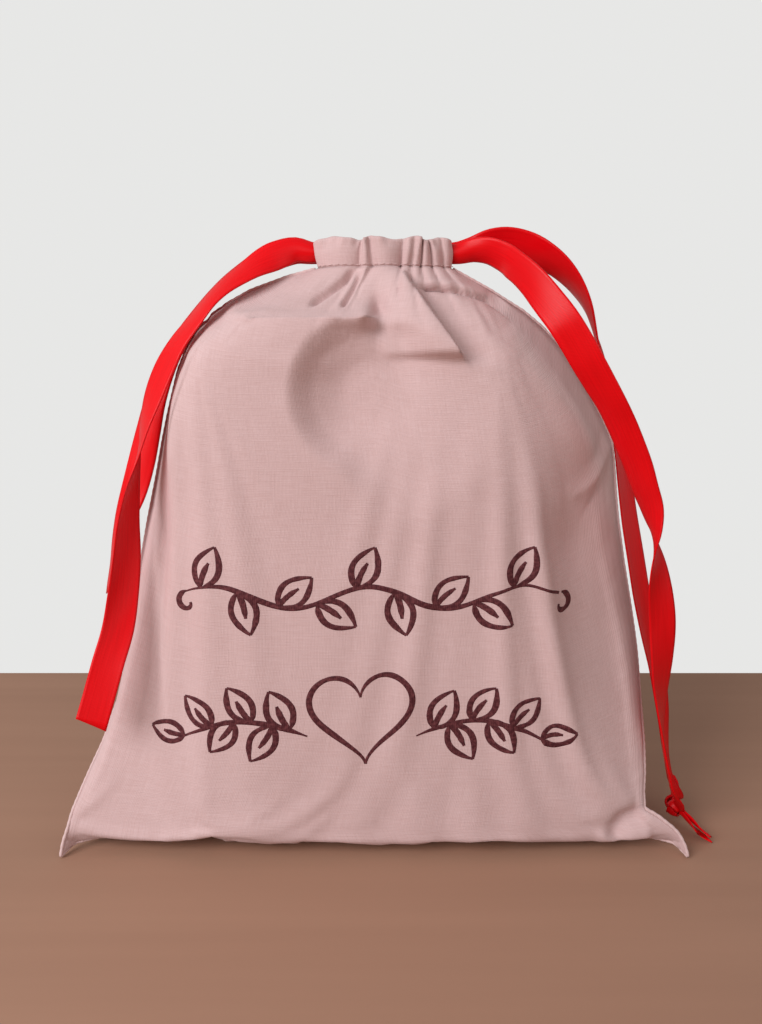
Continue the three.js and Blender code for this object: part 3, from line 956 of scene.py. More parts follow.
def rolled_faces(centres: np.ndarray, rolls: np.ndarray) -> np.ndarray:
    """The way a band faces: the front at roll 0, turned about the band by its roll.

    Args:
        centres: The band's middle line.
        rolls: Its roll at each point, in degrees.

    Returns:
        A unit vector for each point.
    """
    along = tangents(centres)
    front = np.array([0.0, -1.0, 0.0])
    flat = unit(front + along * along[:, 1:2])
    angle = np.radians(rolls)[:, None]
    return flat * np.cos(angle) + np.cross(along, flat) * np.sin(angle)


@dataclass
class Band:
    """A flat woven band laid along a line, with a slight cup across it and firm selvedges."""

    name: str
    width: float = 10 * MM
    ply: float = 0.24 * MM
    points_across: int = 13
    slant_start: float = 0.0
    slant_end: float = 0.0

    def build(
        self,
        centres: np.ndarray,
        facing: np.ndarray,
        widths: np.ndarray,
        cups: np.ndarray,
        finish: bpy.types.Material,
    ) -> bpy.types.Object:
        """Makes the band's mesh.

        Args:
            centres: The band's middle line.
            facing: The direction that the band faces at each point.
            widths: Its width at each point, as a share of the full width.
            cups: How far its edges curl back at each point, in metres.
            finish: The material.

        Returns:
            The piece.
        """
        along = tangents(centres)
        facing = unit(facing - along * np.sum(facing * along, axis=1, keepdims=True))
        across = np.cross(along, facing)
        run = np.concatenate([[0], np.cumsum(np.linalg.norm(np.diff(centres, axis=0), axis=1))])
        u = np.linspace(-1.0, 1.0, self.points_across)
        selvedge = 1.0 + 0.9 * np.exp(-(((1 - np.abs(u)) / 0.12) ** 2))
        rings, coordinates = [], []
        last = len(centres) - 1
        for k, (centre, side, front, way) in enumerate(zip(centres, across, facing, along)):
            half = widths[k] * self.width / 2
            slant = self.slant_start if k == 0 else self.slant_end if k == last else 0.0
            middle = centre + np.outer(u * half, side) - np.outer(cups[k] * (u * u - 0.35), front)
            middle += np.outer(u * half * slant, way)
            depth = np.outer(selvedge * self.ply / 2, front)
            rings.append(np.concatenate([middle + depth, (middle - depth)[::-1]]))
            flat = np.stack([u * self.width / 2, np.full_like(u, run[k])], axis=1)
            coordinates.append(np.concatenate([flat, flat[::-1]]))
        n = 2 * self.points_across
        faces = [
            (k * n + i, k * n + (i + 1) % n, (k + 1) * n + (i + 1) % n, (k + 1) * n + i)
            for k in range(last)
            for i in range(n)
        ]
        for i in range(self.points_across - 1):
            faces.append((i + 1, i, n - 1 - i, n - 2 - i))
            end = last * n
            faces.append((end + i, end + i + 1, end + n - 2 - i, end + n - 1 - i))
        made = new_object(self.name, np.concatenate(rings), faces, finish)
        lay_uv(made, np.concatenate(coordinates))
        return made


@dataclass
class Strand:
    """A free length of ribbon that hangs from an end of the casing."""

    name: str
    node: str
    side: Side
    route: tuple
    length: float
    phase: float
    slant: float = 0.0
    width: float = 9.6 * MM
    tied: tuple = ()

    def build(self, finish: bpy.types.Material) -> tuple[bpy.types.Object, np.ndarray]:
        """Makes the strand.

        Args:
            finish: The material.

        Returns:
            The piece and its middle line.
        """
        start = np.array(self.route[0])
        inside = np.array([
            (start[0] - self.side.value * 15.0, start[1] * 0.4, start[2] - 0.9, 0),
            (start[0] - self.side.value * 9.5, start[1] * 0.4, start[2] - 0.9, 0),
            (start[0] - self.side.value * 4.5, start[1] * 0.8, start[2] - 0.7, 0),
        ])
        table = np.concatenate([inside, np.array(self.route + self.tied, float)]) * (MM, MM, MM, 1.0)
        laid = smooth_route(table, STRAND_STEP * MM)
        run = np.linspace(0, len(laid) * STRAND_STEP, len(laid))
        rolls = laid[:, 3] + 4.0 * np.sin(run / 13.0 + self.phase)
        centres = laid[:, :3]
        facing = rolled_faces(centres, rolls)
        bunch = 1 - smooth(6.0, 26.0, run)
        narrow = 0.40 * bunch
        if self.tied:
            knotted = smooth(run[-1] - 16.0, run[-1], run)
            bunch = bunch + 1.9 * knotted
            narrow = narrow + 0.53 * knotted
        cups = (0.55 + 1.2 * bunch + 0.35 * np.sin(run / 17.0 + self.phase)) * MM
        band = Band(self.name, self.width, slant_end=self.slant)
        made = band.build(centres, facing, 1 - narrow, cups, finish)
        return made, centres


LEFT_FRONT_ROUTE = (
    (-24.4, -1.2, 190.4, 0), (-29.9, -2.5, 188.7, 8), (-34.7, -4, 186.4, 25), (-39.3, -6, 183.4, 42),
    (-44, -8, 180, 50), (-49.3, -11, 174.7, 58), (-54.2, -13, 168.1, 58), (-59.4, -14, 161.3, 52),
    (-63.7, -14, 153.9, 42), (-67.4, -14, 145.8, 42), (-70.7, -14, 136.7, 55), (-72.8, -14.5, 127.5, 72),
    (-75.3, -15.5, 116.8, 97), (-76.7, -16.5, 107.2, 115), (-77.4, -17.5, 96, 134), (-78.3, -19.5, 85, 148),
    (-79.5, -22.5, 74.3, 160), (-81.8, -26.5, 64.4, 168), (-84.4, -29.5, 54, 170),
    (-86.3, -31.5, 46.8, 168),
)
LEFT_BACK_ROUTE = (
    (-24.4, 1.2, 190.1, 10), (-30.5, 2, 189, 25), (-35.6, 2.5, 187.3, 35), (-41.1, 2.5, 184.6, 50),
    (-46.5, 2, 181.1, 58), (-52.1, 0.5, 175.8, 60), (-57.4, -1, 168.9, 52), (-62.5, -2, 161.5, 44),
    (-66.9, -2.5, 153, 38), (-70.4, -3, 143.9, 32), (-73.2, -3, 133.8, 25), (-75.6, -3, 124.7, 20),
    (-78.7, -3, 114.9, 24), (-82.2, -3, 106.3, 40), (-85.3, -3, 97.6, 56), (-87.1, -3, 89.5, 62),
    (-88.5, -3, 81.3, 58),
)
RIGHT_FRONT_ROUTE = (
    (30.9, -1.2, 189.8, 20), (35.1, -2.5, 189.3, 35), (38.8, -5, 187.4, 45), (42, -10, 184.1, 48),
    (46.5, -16, 178.7, 42), (50.5, -20, 172.9, 32), (54.7, -23, 166.8, 25), (58.6, -23.5, 160.9, 25),
    (62.1, -23.5, 155.2, 28), (66.1, -22.5, 149.2, 34), (70, -21.5, 143.3, 40), (73.7, -20, 137.1, 40),
    (76.8, -19, 131, 42), (79.9, -18, 124.5, 47), (82.4, -17, 118.2, 54), (85.3, -16, 111.2, 66),
    (86.8, -15.5, 104.8, 88), (88, -15, 98.3, 118), (90.3, -14, 87, 150), (92.3, -13.5, 74.3, 162),
    (93.1, -13.5, 61.1, 148), (93.3, -13.5, 52.5, 136), (93.9, -13.5, 43.5, 122), (95, -13, 34.5, 112),
    (96.3, -12.5, 27.8, 110), (98.2, -12, 21.4, 112), (99.6, -11.8, 15.9, 112),
)
RIGHT_BACK_ROUTE = (
    (30.9, 1.2, 190.7, 20), (36.5, 1.4, 192.4, 32), (42.4, 1.2, 192.5, 28), (48.1, 0.8, 191, 28),
    (53.1, 0.3, 188.5, 42), (57.5, 0, 185.4, 54), (61.7, 0, 181.2, 66), (65.9, 0.5, 175.2, 80),
    (69.5, 2, 167.6, 95), (72.5, 3, 159.1, 108), (75.5, 3.8, 148.6, 118), (78.5, 4.2, 137.2, 125),
    (81, 4.2, 127.3, 130), (83.2, 4.2, 117.3, 135), (85.6, 4, 104.4, 135), (88.2, 3.5, 91.4, 135),
    (90.9, 3.2, 77.7, 138), (94, 3, 64.2, 140), (96.8, 3, 53.7, 140), (99.1, 3, 43.4, 138),
    (100.8, 3, 34.1, 130), (102, 3, 25.5, 120), (103.2, 2.8, 18, 112), (104.4, 2, 10.7, 110),
)


@dataclass
class Drawstrings:
    """The two red ribbons: their runs through the casing, the four free strands, the knot and its tails."""

    knot_place: tuple[float, float, float] = (103.4, -6.5, 5.2)
    knot_size: float = 1.0
    run_depth: float = 3.4 * MM
    tail_route: tuple = (
        (104.4, -8.6, 4.2, 60), (105.4, -11, 3.4, 68), (107, -15, 2.1, 78), (108.6, -19.5, 1.3, 86),
    )

    def run(self, node: str, name: str, finish: bpy.types.Material) -> None:
        """Makes the part of a ribbon that goes round inside the casing, in place of its plain node.

        Args:
            node: The plain node that it stands for.
            name: The piece's name.
            finish: The material.
        """
        low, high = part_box(node)
        middle, half = (low + high) / 2, (high - low) / 2
        angle = np.linspace(0, 2 * math.pi, 181)
        ripple = 1 + 0.025 * np.sin(13 * angle) + 0.015 * np.sin(29 * angle)
        a, b = half.x - 1.0 * MM, min(half.y, self.run_depth)
        centres = np.stack([
            middle.x + a * np.cos(angle) * ripple,
            middle.y + b * np.sin(angle) * ripple,
            np.full_like(angle, middle.z - 1.0 * MM),
        ], axis=1)
        facing = unit(np.stack([np.cos(angle) / a, np.sin(angle) / b, np.zeros_like(angle)], axis=1))
        band = Band(name, 0.72 * (high.z - low.z))
        made = band.build(centres, facing, np.ones_like(angle), np.full_like(angle, 0.15 * MM), finish)
        dress(made, "sack", "satin_ribbon", node)

    def knot(self, finish: bpy.types.Material) -> bpy.types.Object:
        """Makes the overhand knot that joins the right ribbon's ends.

        Args:
            finish: The material.

        Returns:
            The piece.
        """
        t = np.linspace(0, 2 * math.pi + 0.02, 181)
        loops = np.stack([
            -np.sin(3 * t) * 1.25,
            np.sin(t) + 2 * np.sin(2 * t),
            np.cos(t) - 2 * np.cos(2 * t),
        ], axis=1)
        centres = (np.array(self.knot_place) + loops * self.knot_size * (1.0, 1.0, 1.05)) * MM
        outward = unit(centres - np.array(self.knot_place) * MM)
        band = Band("right_ribbon_knot_satin", 3.6 * MM, ply=0.5 * MM)
        made = band.build(centres, outward, np.ones_like(t), np.full_like(t, 0.5 * MM), finish)
        dress(made, "right_tails", "satin_ribbon", "right_ribbon_knot")
        return made

    def tails(self, finish: bpy.types.Material) -> bpy.types.Object:
        """Makes the two short ends below the knot.

        Args:
            finish: The material.

        Returns:
            The piece.
        """
        ends = []
        for number, (shift, turn, spare) in enumerate(((0.0, 0.0, 0.0), (1.3, -14.0, 0.5))):
            table = np.array(self.tail_route, float)
            share = np.linspace(0, 1, len(table))
            table[:, 0] += shift * share + spare
            table[:, 2] += 0.35 * number
            table[:, 3] += turn * share
            laid = smooth_route(table * (MM, MM, MM, 1.0), 0.6 * MM)
            s = np.linspace(0, 1, len(laid))
            band = Band("right_ribbon_tail_%d" % number, 4.4 * MM, slant_end=0.8 - 1.5 * number)
            facing = rolled_faces(laid[:, :3], laid[:, 3])
            ends.append(band.build(laid[:, :3], facing, 0.55 + 0.45 * s, (0.9 - 0.6 * s) * MM, finish))
        made = joined(ends, "right_ribbon_tails_satin")
        dress(made, "right_tails", "satin_ribbon", "right_ribbon_tails")
        return made

    def build(self, finish: bpy.types.Material) -> None:
        """Args:
            finish: The material.
        """
        ends = [self.knot(finish), self.tails(finish)]
        strands = (
            Strand(
                "left_ribbon_front_satin", "left_ribbon_front_strand", Side.LEFT, LEFT_FRONT_ROUTE,
                length=0.179, phase=0.4, slant=0.2,
            ),
            Strand(
                "left_ribbon_back_satin", "left_ribbon_back_strand", Side.LEFT, LEFT_BACK_ROUTE,
                length=0.144, phase=2.2, slant=0.6,
            ),
            Strand(
                "right_ribbon_front_satin", "right_ribbon_front_strand", Side.RIGHT, RIGHT_FRONT_ROUTE,
                length=0.221, phase=1.1,
                tied=((103.2, -9.5, 8.2, 110), (103.4, -7.5, 6.2, 105)),
            ),
            Strand(
                "right_ribbon_back_satin", "right_ribbon_back_strand", Side.RIGHT, RIGHT_BACK_ROUTE,
                length=0.228, phase=3.0,
                tied=((104.3, -2.6, 9.6, 108), (103.6, -5.2, 6.6, 105)),
            ),
        )
        for strand in strands:
            made, centres = strand.build(finish)
            left = strand.side is Side.LEFT
            side = "left" if left else "right"
            nodes = [strand.node]
            if "front" in strand.name:
                nodes.append(side + "_ribbon_exit")
            dress(made, "", "satin_ribbon", *nodes)
            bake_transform(made)
        self.run("left_ribbon_run", "left_ribbon_run_satin", finish)
        self.run("right_ribbon_run", "right_ribbon_run_satin", finish)


# ---------------------------------------------------------------- sewing
def tube(name: str, centres: np.ndarray, radii: np.ndarray, finish: bpy.types.Material) -> bpy.types.Object:
    """Makes a round thread or roll of cloth along a line, closed at both ends.

    Args:
        name: The piece's name.
        centres: Its middle line.
        radii: Its radius at each point.
        finish: The material.

    Returns:
        The piece.
    """
    sides = 8
    along = tangents(centres)
    front = unit(np.array([0.13, -1.0, 0.21]) + along * along[:, 1:2])
    across = unit(np.cross(along, front))
    front = np.cross(across, along)
    turn = np.linspace(0, 2 * math.pi, sides, endpoint=False)
    ring = np.cos(turn)[None, :, None] * across[:, None] + np.sin(turn)[None, :, None] * front[:, None]
    verts = (centres[:, None] + ring * radii[:, None, None]).reshape(-1, 3)
    last = len(centres) - 1
    faces = [
        (k * sides + i, k * sides + (i + 1) % sides, (k + 1) * sides + (i + 1) % sides, (k + 1) * sides + i)
        for k in range(last)
        for i in range(sides)
    ]
    faces.append(tuple(range(sides - 1, -1, -1)))
    faces.append(tuple(last * sides + i for i in range(sides)))
    return new_object(name, verts, faces, finish)


@dataclass
class Sewing:
    """The seams that join the panels and the stitch line under the casing."""

    cloth: Cloth
    stitch: float = 2.3 * MM
    roll: float = 0.55 * MM

    def seam(self, line: np.ndarray, name: str, node: str, finish: bpy.types.Material) -> None:
        """Rolls a seam along an edge of the cloth, in place of its plain node.

        Args:
            line: The edge's points.
            name: The piece's name.
            node: The plain node that it stands for.
            finish: The material.
        """
        laid = smooth_route(line, 0.4 * MM)
        run = np.linspace(0, len(laid) * 0.4 * MM, len(laid))
        radii = self.roll * (0.86 + 0.2 * np.abs(np.sin(math.pi * run / self.stitch)))
        made = tube(name, laid, radii, finish)
        dress(made, "sack", "seam_thread", node)

    def stitches(self, sheet: Sheet, name: str, finish: bpy.types.Material) -> None:
        """Sews the row of stitches that closes the casing.

        Args:
            sheet: The panel.
            name: The piece's name.
            finish: The material.
        """
        row = self.cloth.panel(sheet)[-1]
        step = np.concatenate([[0], np.cumsum(np.linalg.norm(np.diff(row, axis=0), axis=1))])
        middle = np.array([self.cloth.neck_x, 0.0])
        parts = []
        start = self.stitch
        while start < step[-1] - self.stitch:
            at = np.linspace(start, start + 0.62 * self.stitch, 5)
            points = np.stack([np.interp(at, step, row[:, k]) for k in range(3)], axis=1)
            outward = points[:, :2] - middle
            outward = unit(outward / np.array(self.cloth.neck_half) ** 2)
            arch = np.sin(np.linspace(0, math.pi, 5)) * 0.12 * MM
            points[:, :2] += outward * (0.22 * MM + arch)[:, None]
            points[:, 2] += 0.5 * MM
            parts.append(tube(name, points, np.full(5, 0.11 * MM), finish))
            start += self.stitch
        made = joined(parts, name)
        dress(made, "sack", "seam_thread")

    def build(self, finish: bpy.types.Material) -> None:
        """Makes the three seams and the casing's stitches.

        Args:
            finish: The material.
        """
        points = self.cloth.points
        self.seam(points[:, 0], "left_side_seam_roll", "left_side_seam", finish)
        self.seam(points[:, self.cloth.columns], "right_side_seam_roll", "right_side_seam", finish)
        self.seam(points[0, : self.cloth.columns + 1], "bottom_seam_roll", "bottom_seam", finish)
        self.stitches(Sheet.FRONT, "front_casing_stitches", finish)
        self.stitches(Sheet.BACK, "back_casing_stitches", finish)


@dataclass
class Casing:
    """The folded channel at the neck, drawn into pleats over the ribbons."""

    cloth: Cloth
    slit: float = 1.7 * MM  # half of the gap that a ribbon leaves through
    # Distance outwards and height above the stitches, in millimetres.
    PROFILE = np.array([
        (0.0, 0.0), (0.15, 0.9), (0.35, 2.2), (0.5, 3.8), (0.45, 5.6), (0.3, 7.2), (0.2, 8.6), (0.05, 9.5),
        (-0.45, 10.0), (-1.1, 9.9), (-1.6, 9.2), (-1.8, 8.0), (-1.9, 6.0), (-1.9, 3.5), (-1.8, 1.2),
    ])

    def build(self, sheet: Sheet, name: str, node: str, finish: bpy.types.Material) -> bpy.types.Object:
        """Makes one half of the casing, in place of its plain node.

        Args:
            sheet: The panel that it belongs to.
            name: The piece's name.
            node: The plain node that it stands for.
            finish: The material.

        Returns:
            The piece.
        """
        row = self.cloth.panel(sheet)[-1]
        keep = np.abs(row[:, 1]) > self.slit
        row = row[keep]
        a, b = self.cloth.neck_half
        slopes = [(row[:, 0] - self.cloth.neck_x) / a**2, row[:, 1] / b**2, 0 * row[:, 0]]
        outward = unit(np.stack(slopes, axis=1))
        run = np.concatenate([[0], np.cumsum(np.linalg.norm(np.diff(row, axis=0), axis=1))]) / MM
        laid = smooth_route(np.concatenate([self.PROFILE, np.zeros((len(self.PROFILE), 1))], axis=1), 0.45)
        grid = []
        for out, up, _ in laid:
            top = smooth(4.0, 10.0, up) if out > -1.0 else 1.0
            loose = 0.35 * np.sin(run * 0.9 + 0.5 * sheet.value) + 0.12 * np.sin(run * 2.3 + 1.0)
            rise = 0.5 * np.sin(run * 0.42 + sheet.value) + 0.12 * np.sin(run * 1.3)
            ring = row + outward * ((out + loose * top) * MM)[:, None]
            ring[:, 0] += 0.15 * up * np.sin(run * 0.26 + 1.3 * sheet.value) * MM
            ring[:, 2] += (up + rise * top * up / 10.0 - 1.6 * top) * MM
            grid.append(ring)
        grid = np.array(grid)
        rows, columns = grid.shape[:2]
        faces = grid_faces(rows, columns)
        if sheet is Sheet.BACK:
            faces = [f[::-1] for f in faces]
        made = new_object(name, grid.reshape(-1, 3), faces, finish)
        across, up = np.meshgrid(run * 1.4 * MM, np.linspace(0, 24 * MM, rows))
        lay_uv(made, np.stack([across, up + self.cloth.height], axis=-1).reshape(-1, 2))
        thicken(made, CLOTH_PLY)
        dress(made, "sack", "cotton", node)
        return made


# ---------------------------------------------------------------- painted sprig
@dataclass
class Sprig:
    """A painted vine of leaves and a heart on the front panel, in two rows."""

    width: float = 1.9  # of a full stroke, in millimetres
    lift: float = 0.10

    def leaf(self, x: float, z: float, angle: float, size: float) -> list[np.ndarray]:
        """Outlines a leaf from its stem, with a midrib.

        Args:
            x: Where its stem starts, across, in millimetres.
            z: Where its stem starts, up.
            angle: The way it points, in degrees.
            size: Its length.

        Returns:
            Its two edges and its midrib.
        """
        t = np.linspace(0, 1, 16)
        way = np.array([math.cos(math.radians(angle)), math.sin(math.radians(angle))])
        side = np.array([-way[1], way[0]])
        belly = size * 0.30 * np.sin(math.pi * t) ** 0.85 * (1.1 - 0.35 * t)
        strokes = []
        for sign in (-1, 1):
            points = np.array([x, z]) + np.outer(size * t, way) + np.outer(sign * belly, side)
            strokes.append(points)
        bend = size * 0.03 * np.sin(math.pi * t)
        rib = np.array([x, z]) + np.outer(size * t * 0.62, way) + np.outer(bend, side)
        strokes.append(rib)
        return strokes

    def heart(self, x: float, z: float, size: float, tilt: float) -> list[np.ndarray]:
        """Outlines a heart in two strokes that start at its notch.

        Args:
            x: Its middle, across, in millimetres.
            z: Its middle, up.
            size: Its width.
            tilt: Its lean, in degrees.

        Returns:
            Its two halves.
        """
        t = np.linspace(0.12, math.pi, 26)
        turn = math.radians(tilt)
        strokes = []
        for sign in (-1, 1):
            across = sign * 16 * np.sin(t) ** 3
            up = 13 * np.cos(t) - 5 * np.cos(2 * t) - 2 * np.cos(3 * t) - np.cos(4 * t)
            points = np.stack([across, up], axis=1) * size / 32
            turned = points @ np.array([(math.cos(turn), math.sin(turn)), (-math.sin(turn), math.cos(turn))])
            strokes.append(turned + (x, z))
        return strokes

    def curl(self, x: float, z: float, size: float, sign: int, start: float) -> np.ndarray:
        """Draws a tendril that winds in on itself.

        Args:
            x: Where it starts, across, in millimetres.
            z: Where it starts, up.
            size: Its outer radius.
            sign: Which way it winds, 1 or -1.
            start: The angle that it starts at, in degrees.

        Returns:
            The stroke.
        """
        t = np.linspace(0, 1, 30)
        angle = math.radians(start) + sign * t * 1.55 * math.pi
        radius = size * (1 - 0.72 * t)
        spiral = np.stack([np.cos(angle), np.sin(angle)], axis=1) * radius[:, None]
        return spiral - spiral[0] + (x, z)

    def strokes(self) -> list[np.ndarray]:
        """Lays out the two rows, in millimetres across and up.

        Returns:
            The points of each stroke.
        """
        made = []
        x = np.linspace(-60, 57, 90)
        stem = 85.5 + 3.4 * np.sin((x + 60) / 117 * 2.5 * 2 * math.pi)
        made.append(np.stack([x, stem], axis=1))
        for number, place in enumerate(np.linspace(-53, 42, 9)):
            height = float(np.interp(place, x, stem))
            ahead = float(np.interp(place + 1.0, x, stem)) - height
            slope = math.degrees(math.atan(ahead))
            made += self.leaf(place, height, slope + (54 if number % 2 == 0 else -54), 13.8)
        for place, sign in ((-57.5, 1), (58.0, -1)):
            made.append(self.curl(place, float(np.interp(place, x, stem)), 3.6, sign, 90))
        made += self.heart(-4, 48.5, 32, 4)
        for sign in (-1, 1):
            t = np.linspace(0, 1, 50)
            sx = -4 + sign * (17 + 39 * t)
            sz = 41 + 8.0 * np.sin(t * 2.6) - 5.5 * t
            made.append(np.stack([sx, sz], axis=1))
            for share, turn in ((0.14, 64), (0.27, -58), (0.44, 56), (0.58, -52), (0.76, 44), (1.0, 8)):
                px, pz = np.interp(share, t, sx), np.interp(share, t, sz)
                angle = turn if sign > 0 else 180 - turn
                made += self.leaf(float(px), float(pz), angle, 14.5 - 3.0 * share)
        return made

    def build(self, cloth: Cloth, finish: bpy.types.Material) -> None:
        """Brushes the strokes on the front panel.

        Args:
            cloth: The shaped cloth.
            finish: The material.
        """
        grid = cloth.panel(Sheet.FRONT)
        rows, columns = grid.shape[:2]
        skin = BVHTree.FromPolygons([tuple(p) for p in grid.reshape(-1, 3)], grid_faces(rows, columns))
        verts, faces, flat = [], [], []
        section = np.array([(-1.0, -0.12), (-0.82, 1.0), (-0.3, 1.1), (0.3, 1.1), (0.82, 1.0), (1.0, -0.12)])
        rng = np.random.default_rng(7)
        for stroke in self.strokes():
            route = np.concatenate([stroke, np.zeros((len(stroke), 1))], axis=1)
            laid = smooth_route(route, 0.45)[:, :2]
            along = tangents(laid)
            side = np.stack([-along[:, 1], along[:, 0]], axis=1)
            share = np.linspace(0, 1, len(laid))
            taper = 0.32 + 0.68 * smooth(0.0, 0.18, share) * (1 - 0.75 * smooth(0.7, 1.0, share))
            slope = 0.78 + 0.30 * np.abs(along[:, 0] * 0.35 - along[:, 1] * 0.94)
            rough = 1 + 0.07 * np.interp(share, np.linspace(0, 1, 12), rng.uniform(-1, 1, 12))
            half = self.width / 2 * taper * slope * rough
            first = len(verts)
            width = len(section)
            placed = 0
            for k, (point, way) in enumerate(zip(laid, side)):
                row = []
                for u, up in section:
                    px, pz = point + way * u * half[k]
                    hit, normal, _, _ = skin.ray_cast(Vector((px * MM, -0.2, pz * MM)), Vector((0, 1, 0)))
                    if hit is None:
                        break
                    if normal.y > 0:
                        normal.negate()
                    row.append((hit + normal * (self.lift * up * MM), (px * MM, pz * MM)))
                if len(row) < width:
                    continue
                verts += [tuple(p) for p, _ in row]
                flat += [q for _, q in row]
                placed += 1
            faces += [
                (
                    first + k * width + i, first + k * width + i + 1,
                    first + (k + 1) * width + i + 1, first + (k + 1) * width + i,
                )
                for k in range(placed - 1)
                for i in range(width - 1)
            ]
        made = new_object("painted_sprig", np.array(verts), faces, finish)
        lay_uv(made, np.array(flat))
        dress(made, "sack", "fabric_paint")


# ---------------------------------------------------------------- label
@dataclass
class CareLabel:
    """A plain folded tape, sewn in beside the neck by its raw ends."""

    corner: tuple[float, float, float] = (37.6, 5.4, 186.4)
    tilt: float = 24.0
    wide: float = 17.0
    tall: float = 12.4
    gap: float = 0.32

    def build(self, tape: bpy.types.Material, thread: bpy.types.Material) -> None:
        """Makes the label and its stitches.

        Args:
            tape: The tape's material.
            thread: The stitches' material.
        """
        turn = math.radians(self.tilt)
        u = np.array([math.cos(turn), 0.0, -math.sin(turn)])
        v = np.array([math.sin(turn), 0.0, math.cos(turn)])
        fold = np.linspace(0, math.pi, 7)
        top = self.tall - self.gap
        profile = [(h, -self.gap) for h in np.linspace(0, top, 16)]
        profile += [(top + math.sin(f) * self.gap, -math.cos(f) * self.gap) for f in fold[1:-1]]
        profile += [(h, self.gap) for h in np.linspace(top, 0, 16)]
        rows, columns = len(profile), 21
        verts = []
        for up, depth in profile:
            for c in range(columns):
                across = c / (columns - 1) * self.wide
                curl = 0.9 * (up / self.tall) ** 2 * math.sin(across / self.wide * 2.6 + 0.3)
                curl += 0.25 * math.sin(across * 0.9) * up / self.tall
                verts.append(np.array(self.corner) + u * across + v * up + (0, depth - curl, 0))
        made = new_object("care_label_tape", np.array(verts) * MM, grid_faces(rows, columns), tape)
        across, up = np.meshgrid(np.linspace(0, self.wide, columns), np.linspace(0, 2 * self.tall, rows))
        lay_uv(made, np.stack([across, up], axis=-1).reshape(-1, 2) * MM)
        thicken(made, 0.16 * MM)
        dress(made, "label", "label_tape", "care_label")
        parts = []
        for k in range(7):
            across = 1.2 + k * 2.2
            arch = np.sin(np.linspace(0, math.pi, 5)) * 0.18
            line = [
                np.array(self.corner) + u * (across + 1.4 * s) + v * 1.3 + (0, -self.gap - 0.12 - a, 0)
                for s, a in zip(np.linspace(0, 1, 5), arch)
            ]
            parts.append(tube("care_label_stitches", np.array(line) * MM, np.full(5, 0.16 * MM), thread))
        sewn = joined(parts, "care_label_stitches")
        dress(sewn, "label", "seam_thread")


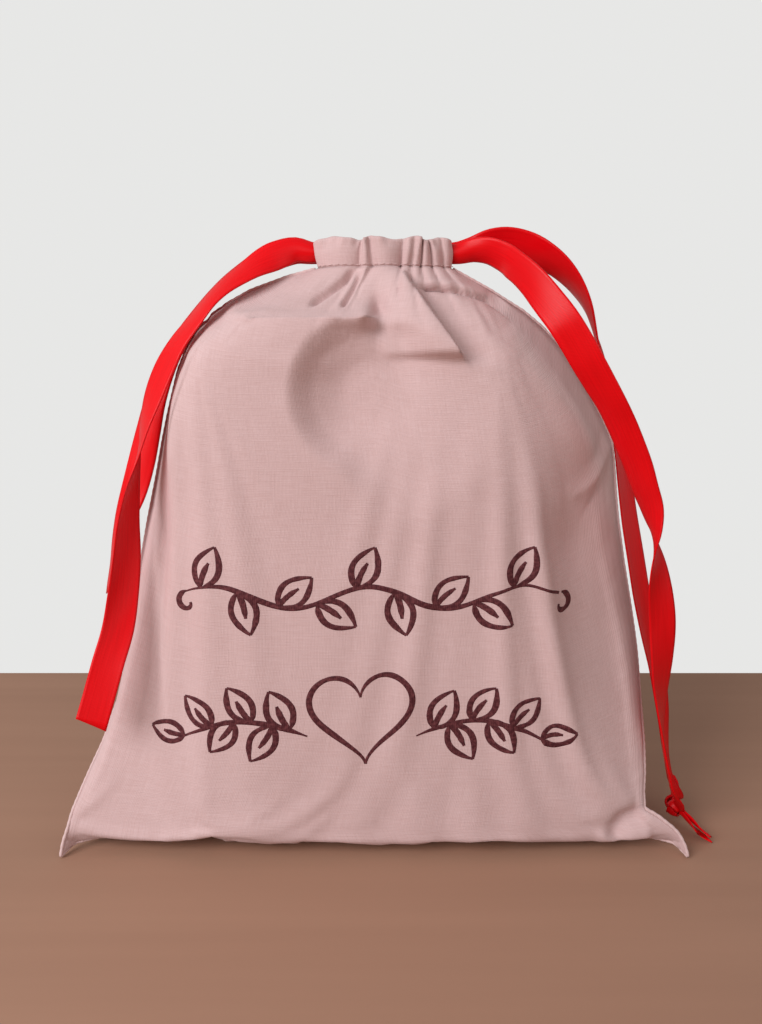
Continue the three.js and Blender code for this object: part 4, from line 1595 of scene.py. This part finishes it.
# ---------------------------------------------------------------- studio
@dataclass
class Studio:
    """Camera, soft light and a wooden table top."""

    eye: tuple[float, float, float] = (0.002, -0.2505, 0.1513)
    tilt: float = 10.0
    lens: float = 27.0

    def camera(self) -> None:
        """Sets the camera."""
        data = bpy.data.cameras.new("camera")
        data.lens = self.lens
        data.sensor_width = 36.0
        data.clip_start = 0.01
        made = bpy.data.objects.new("camera", data)
        made.location = self.eye
        made.rotation_euler = (math.radians(90 - self.tilt), 0.0, 0.0)
        bpy.context.scene.collection.objects.link(made)
        bpy.context.scene.camera = made

    def lamp(self, name: str, place: tuple, size: float, power: float, colour: tuple) -> None:
        """Adds a square soft light that faces the sack.

        Args:
            name: The light's name.
            place: Where it stands, in metres.
            size: Its side, in metres.
            power: In watts.
            colour: Its colour.
        """
        data = bpy.data.lights.new(name, "AREA")
        data.size = size
        data.energy = power
        data.color = colour
        made = bpy.data.objects.new(name, data)
        made.location = place
        aim = Vector((0.0, 0.0, 0.1)) - Vector(place)
        made.rotation_euler = aim.to_track_quat("-Z", "Y").to_euler()
        bpy.context.scene.collection.objects.link(made)

    def light(self) -> None:
        """Sets the key light at the upper left, a weak fill and the room's light."""
        self.lamp("key", (-0.50, -0.52, 0.46), 0.50, 6.0, (0.975, 0.98, 1.0))
        self.lamp("fill", (0.7, -0.7, 0.30), 0.8, 1.3, (1.0, 0.90, 0.85))
        world = bpy.data.worlds.new("room")
        world.use_nodes = True
        tree = world.node_tree
        room = tree.nodes["Background"]
        room.inputs["Color"].default_value = (0.92, 0.90, 0.88, 1.0)
        room.inputs["Strength"].default_value = 0.46
        backdrop = tree.nodes.new("ShaderNodeBackground")
        backdrop.inputs["Color"].default_value = (0.80, 0.80, 0.79, 1.0)
        seen = tree.nodes.new("ShaderNodeLightPath").outputs["Is Camera Ray"]
        either = tree.nodes.new("ShaderNodeMixShader")
        tree.links.new(seen, either.inputs[0])
        tree.links.new(room.outputs[0], either.inputs[1])
        tree.links.new(backdrop.outputs[0], either.inputs[2])
        tree.links.new(either.outputs[0], tree.nodes["World Output"].inputs["Surface"])
        bpy.context.scene.world = world
        bpy.context.scene.view_settings.view_transform = "Standard"

    def floor(self) -> None:
        """Lays the wooden table top."""
        shader = Shader("floor")
        place = shader.node("ShaderNodeTexCoord").outputs["Object"]
        grain = shader.noise(shader.scaled(place, (3.0, 60.0, 1.0)), 1.0, 3.0)
        shader.paint(shader.mix(grain, (0.32, 0.17, 0.11), (0.40, 0.22, 0.145)))
        shader.set(Roughness=0.8)
        reach = 3.0
        back = 0.128
        corners = np.array([(-reach, -reach, 0), (reach, -reach, 0), (reach, back, 0), (-reach, back, 0)])
        new_object("floor", corners - (0, 0, 0.0004), [(0, 1, 2, 3)], shader.material)


def build_panels(cloth: Cloth, finish: bpy.types.Material) -> None:
    casing = Casing(cloth)
    for sheet, name in ((Sheet.FRONT, "front"), (Sheet.BACK, "back")):
        grid = cloth.panel(sheet)
        rows, columns = grid.shape[:2]
        faces = grid_faces(rows, columns)
        if sheet is Sheet.BACK:
            faces = [f[::-1] for f in faces]
        piece = new_object(name + "_panel_cloth", grid.reshape(-1, 3), faces, finish)
        lay_uv(piece, cloth.cut(sheet).reshape(-1, 2))
        thicken(piece, CLOTH_PLY)
        dress(piece, "sack", "cotton", name + "_panel")
        folded = casing.build(sheet, name + "_casing_cloth", name + "_casing", finish)


def dress_gift(finish: bpy.types.Material) -> None:
    """Gives the boxed gift its board finish.

    Args:
        finish: The material.
    """
    gift = bpy.data.objects["boxed_gift"]
    gift.data.materials.clear()
    gift.data.materials.append(finish)


def main() -> None:
    """Builds the sack in order and reports each piece."""
    logging.basicConfig(level=logging.INFO, format="%(message)s")
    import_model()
    studio = Studio()
    studio.camera()
    thread = Thread().build()
    Drawstrings().build(Satin().build())
    cloth = Cloth()
    cloth.place()
    low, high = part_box("boxed_gift")
    Settling().run(cloth, low - GIFT_PADDING[0], high + GIFT_PADDING[1])
    cloth.weld_bottom()
    cloth.refine()
    cloth.shape_front()
    cloth.clear_box(low - GIFT_CLEARANCE[0], high + GIFT_CLEARANCE[1])
    build_panels(cloth, Cotton().build())
    Sewing(cloth).build(thread)
    Sprig().build(cloth, FabricPaint().build())
    CareLabel().build(LabelTape().build(), thread)
    dress_gift(Paperboard().build())
    studio.light()
    studio.floor()


if __name__ == "__main__":
    main()
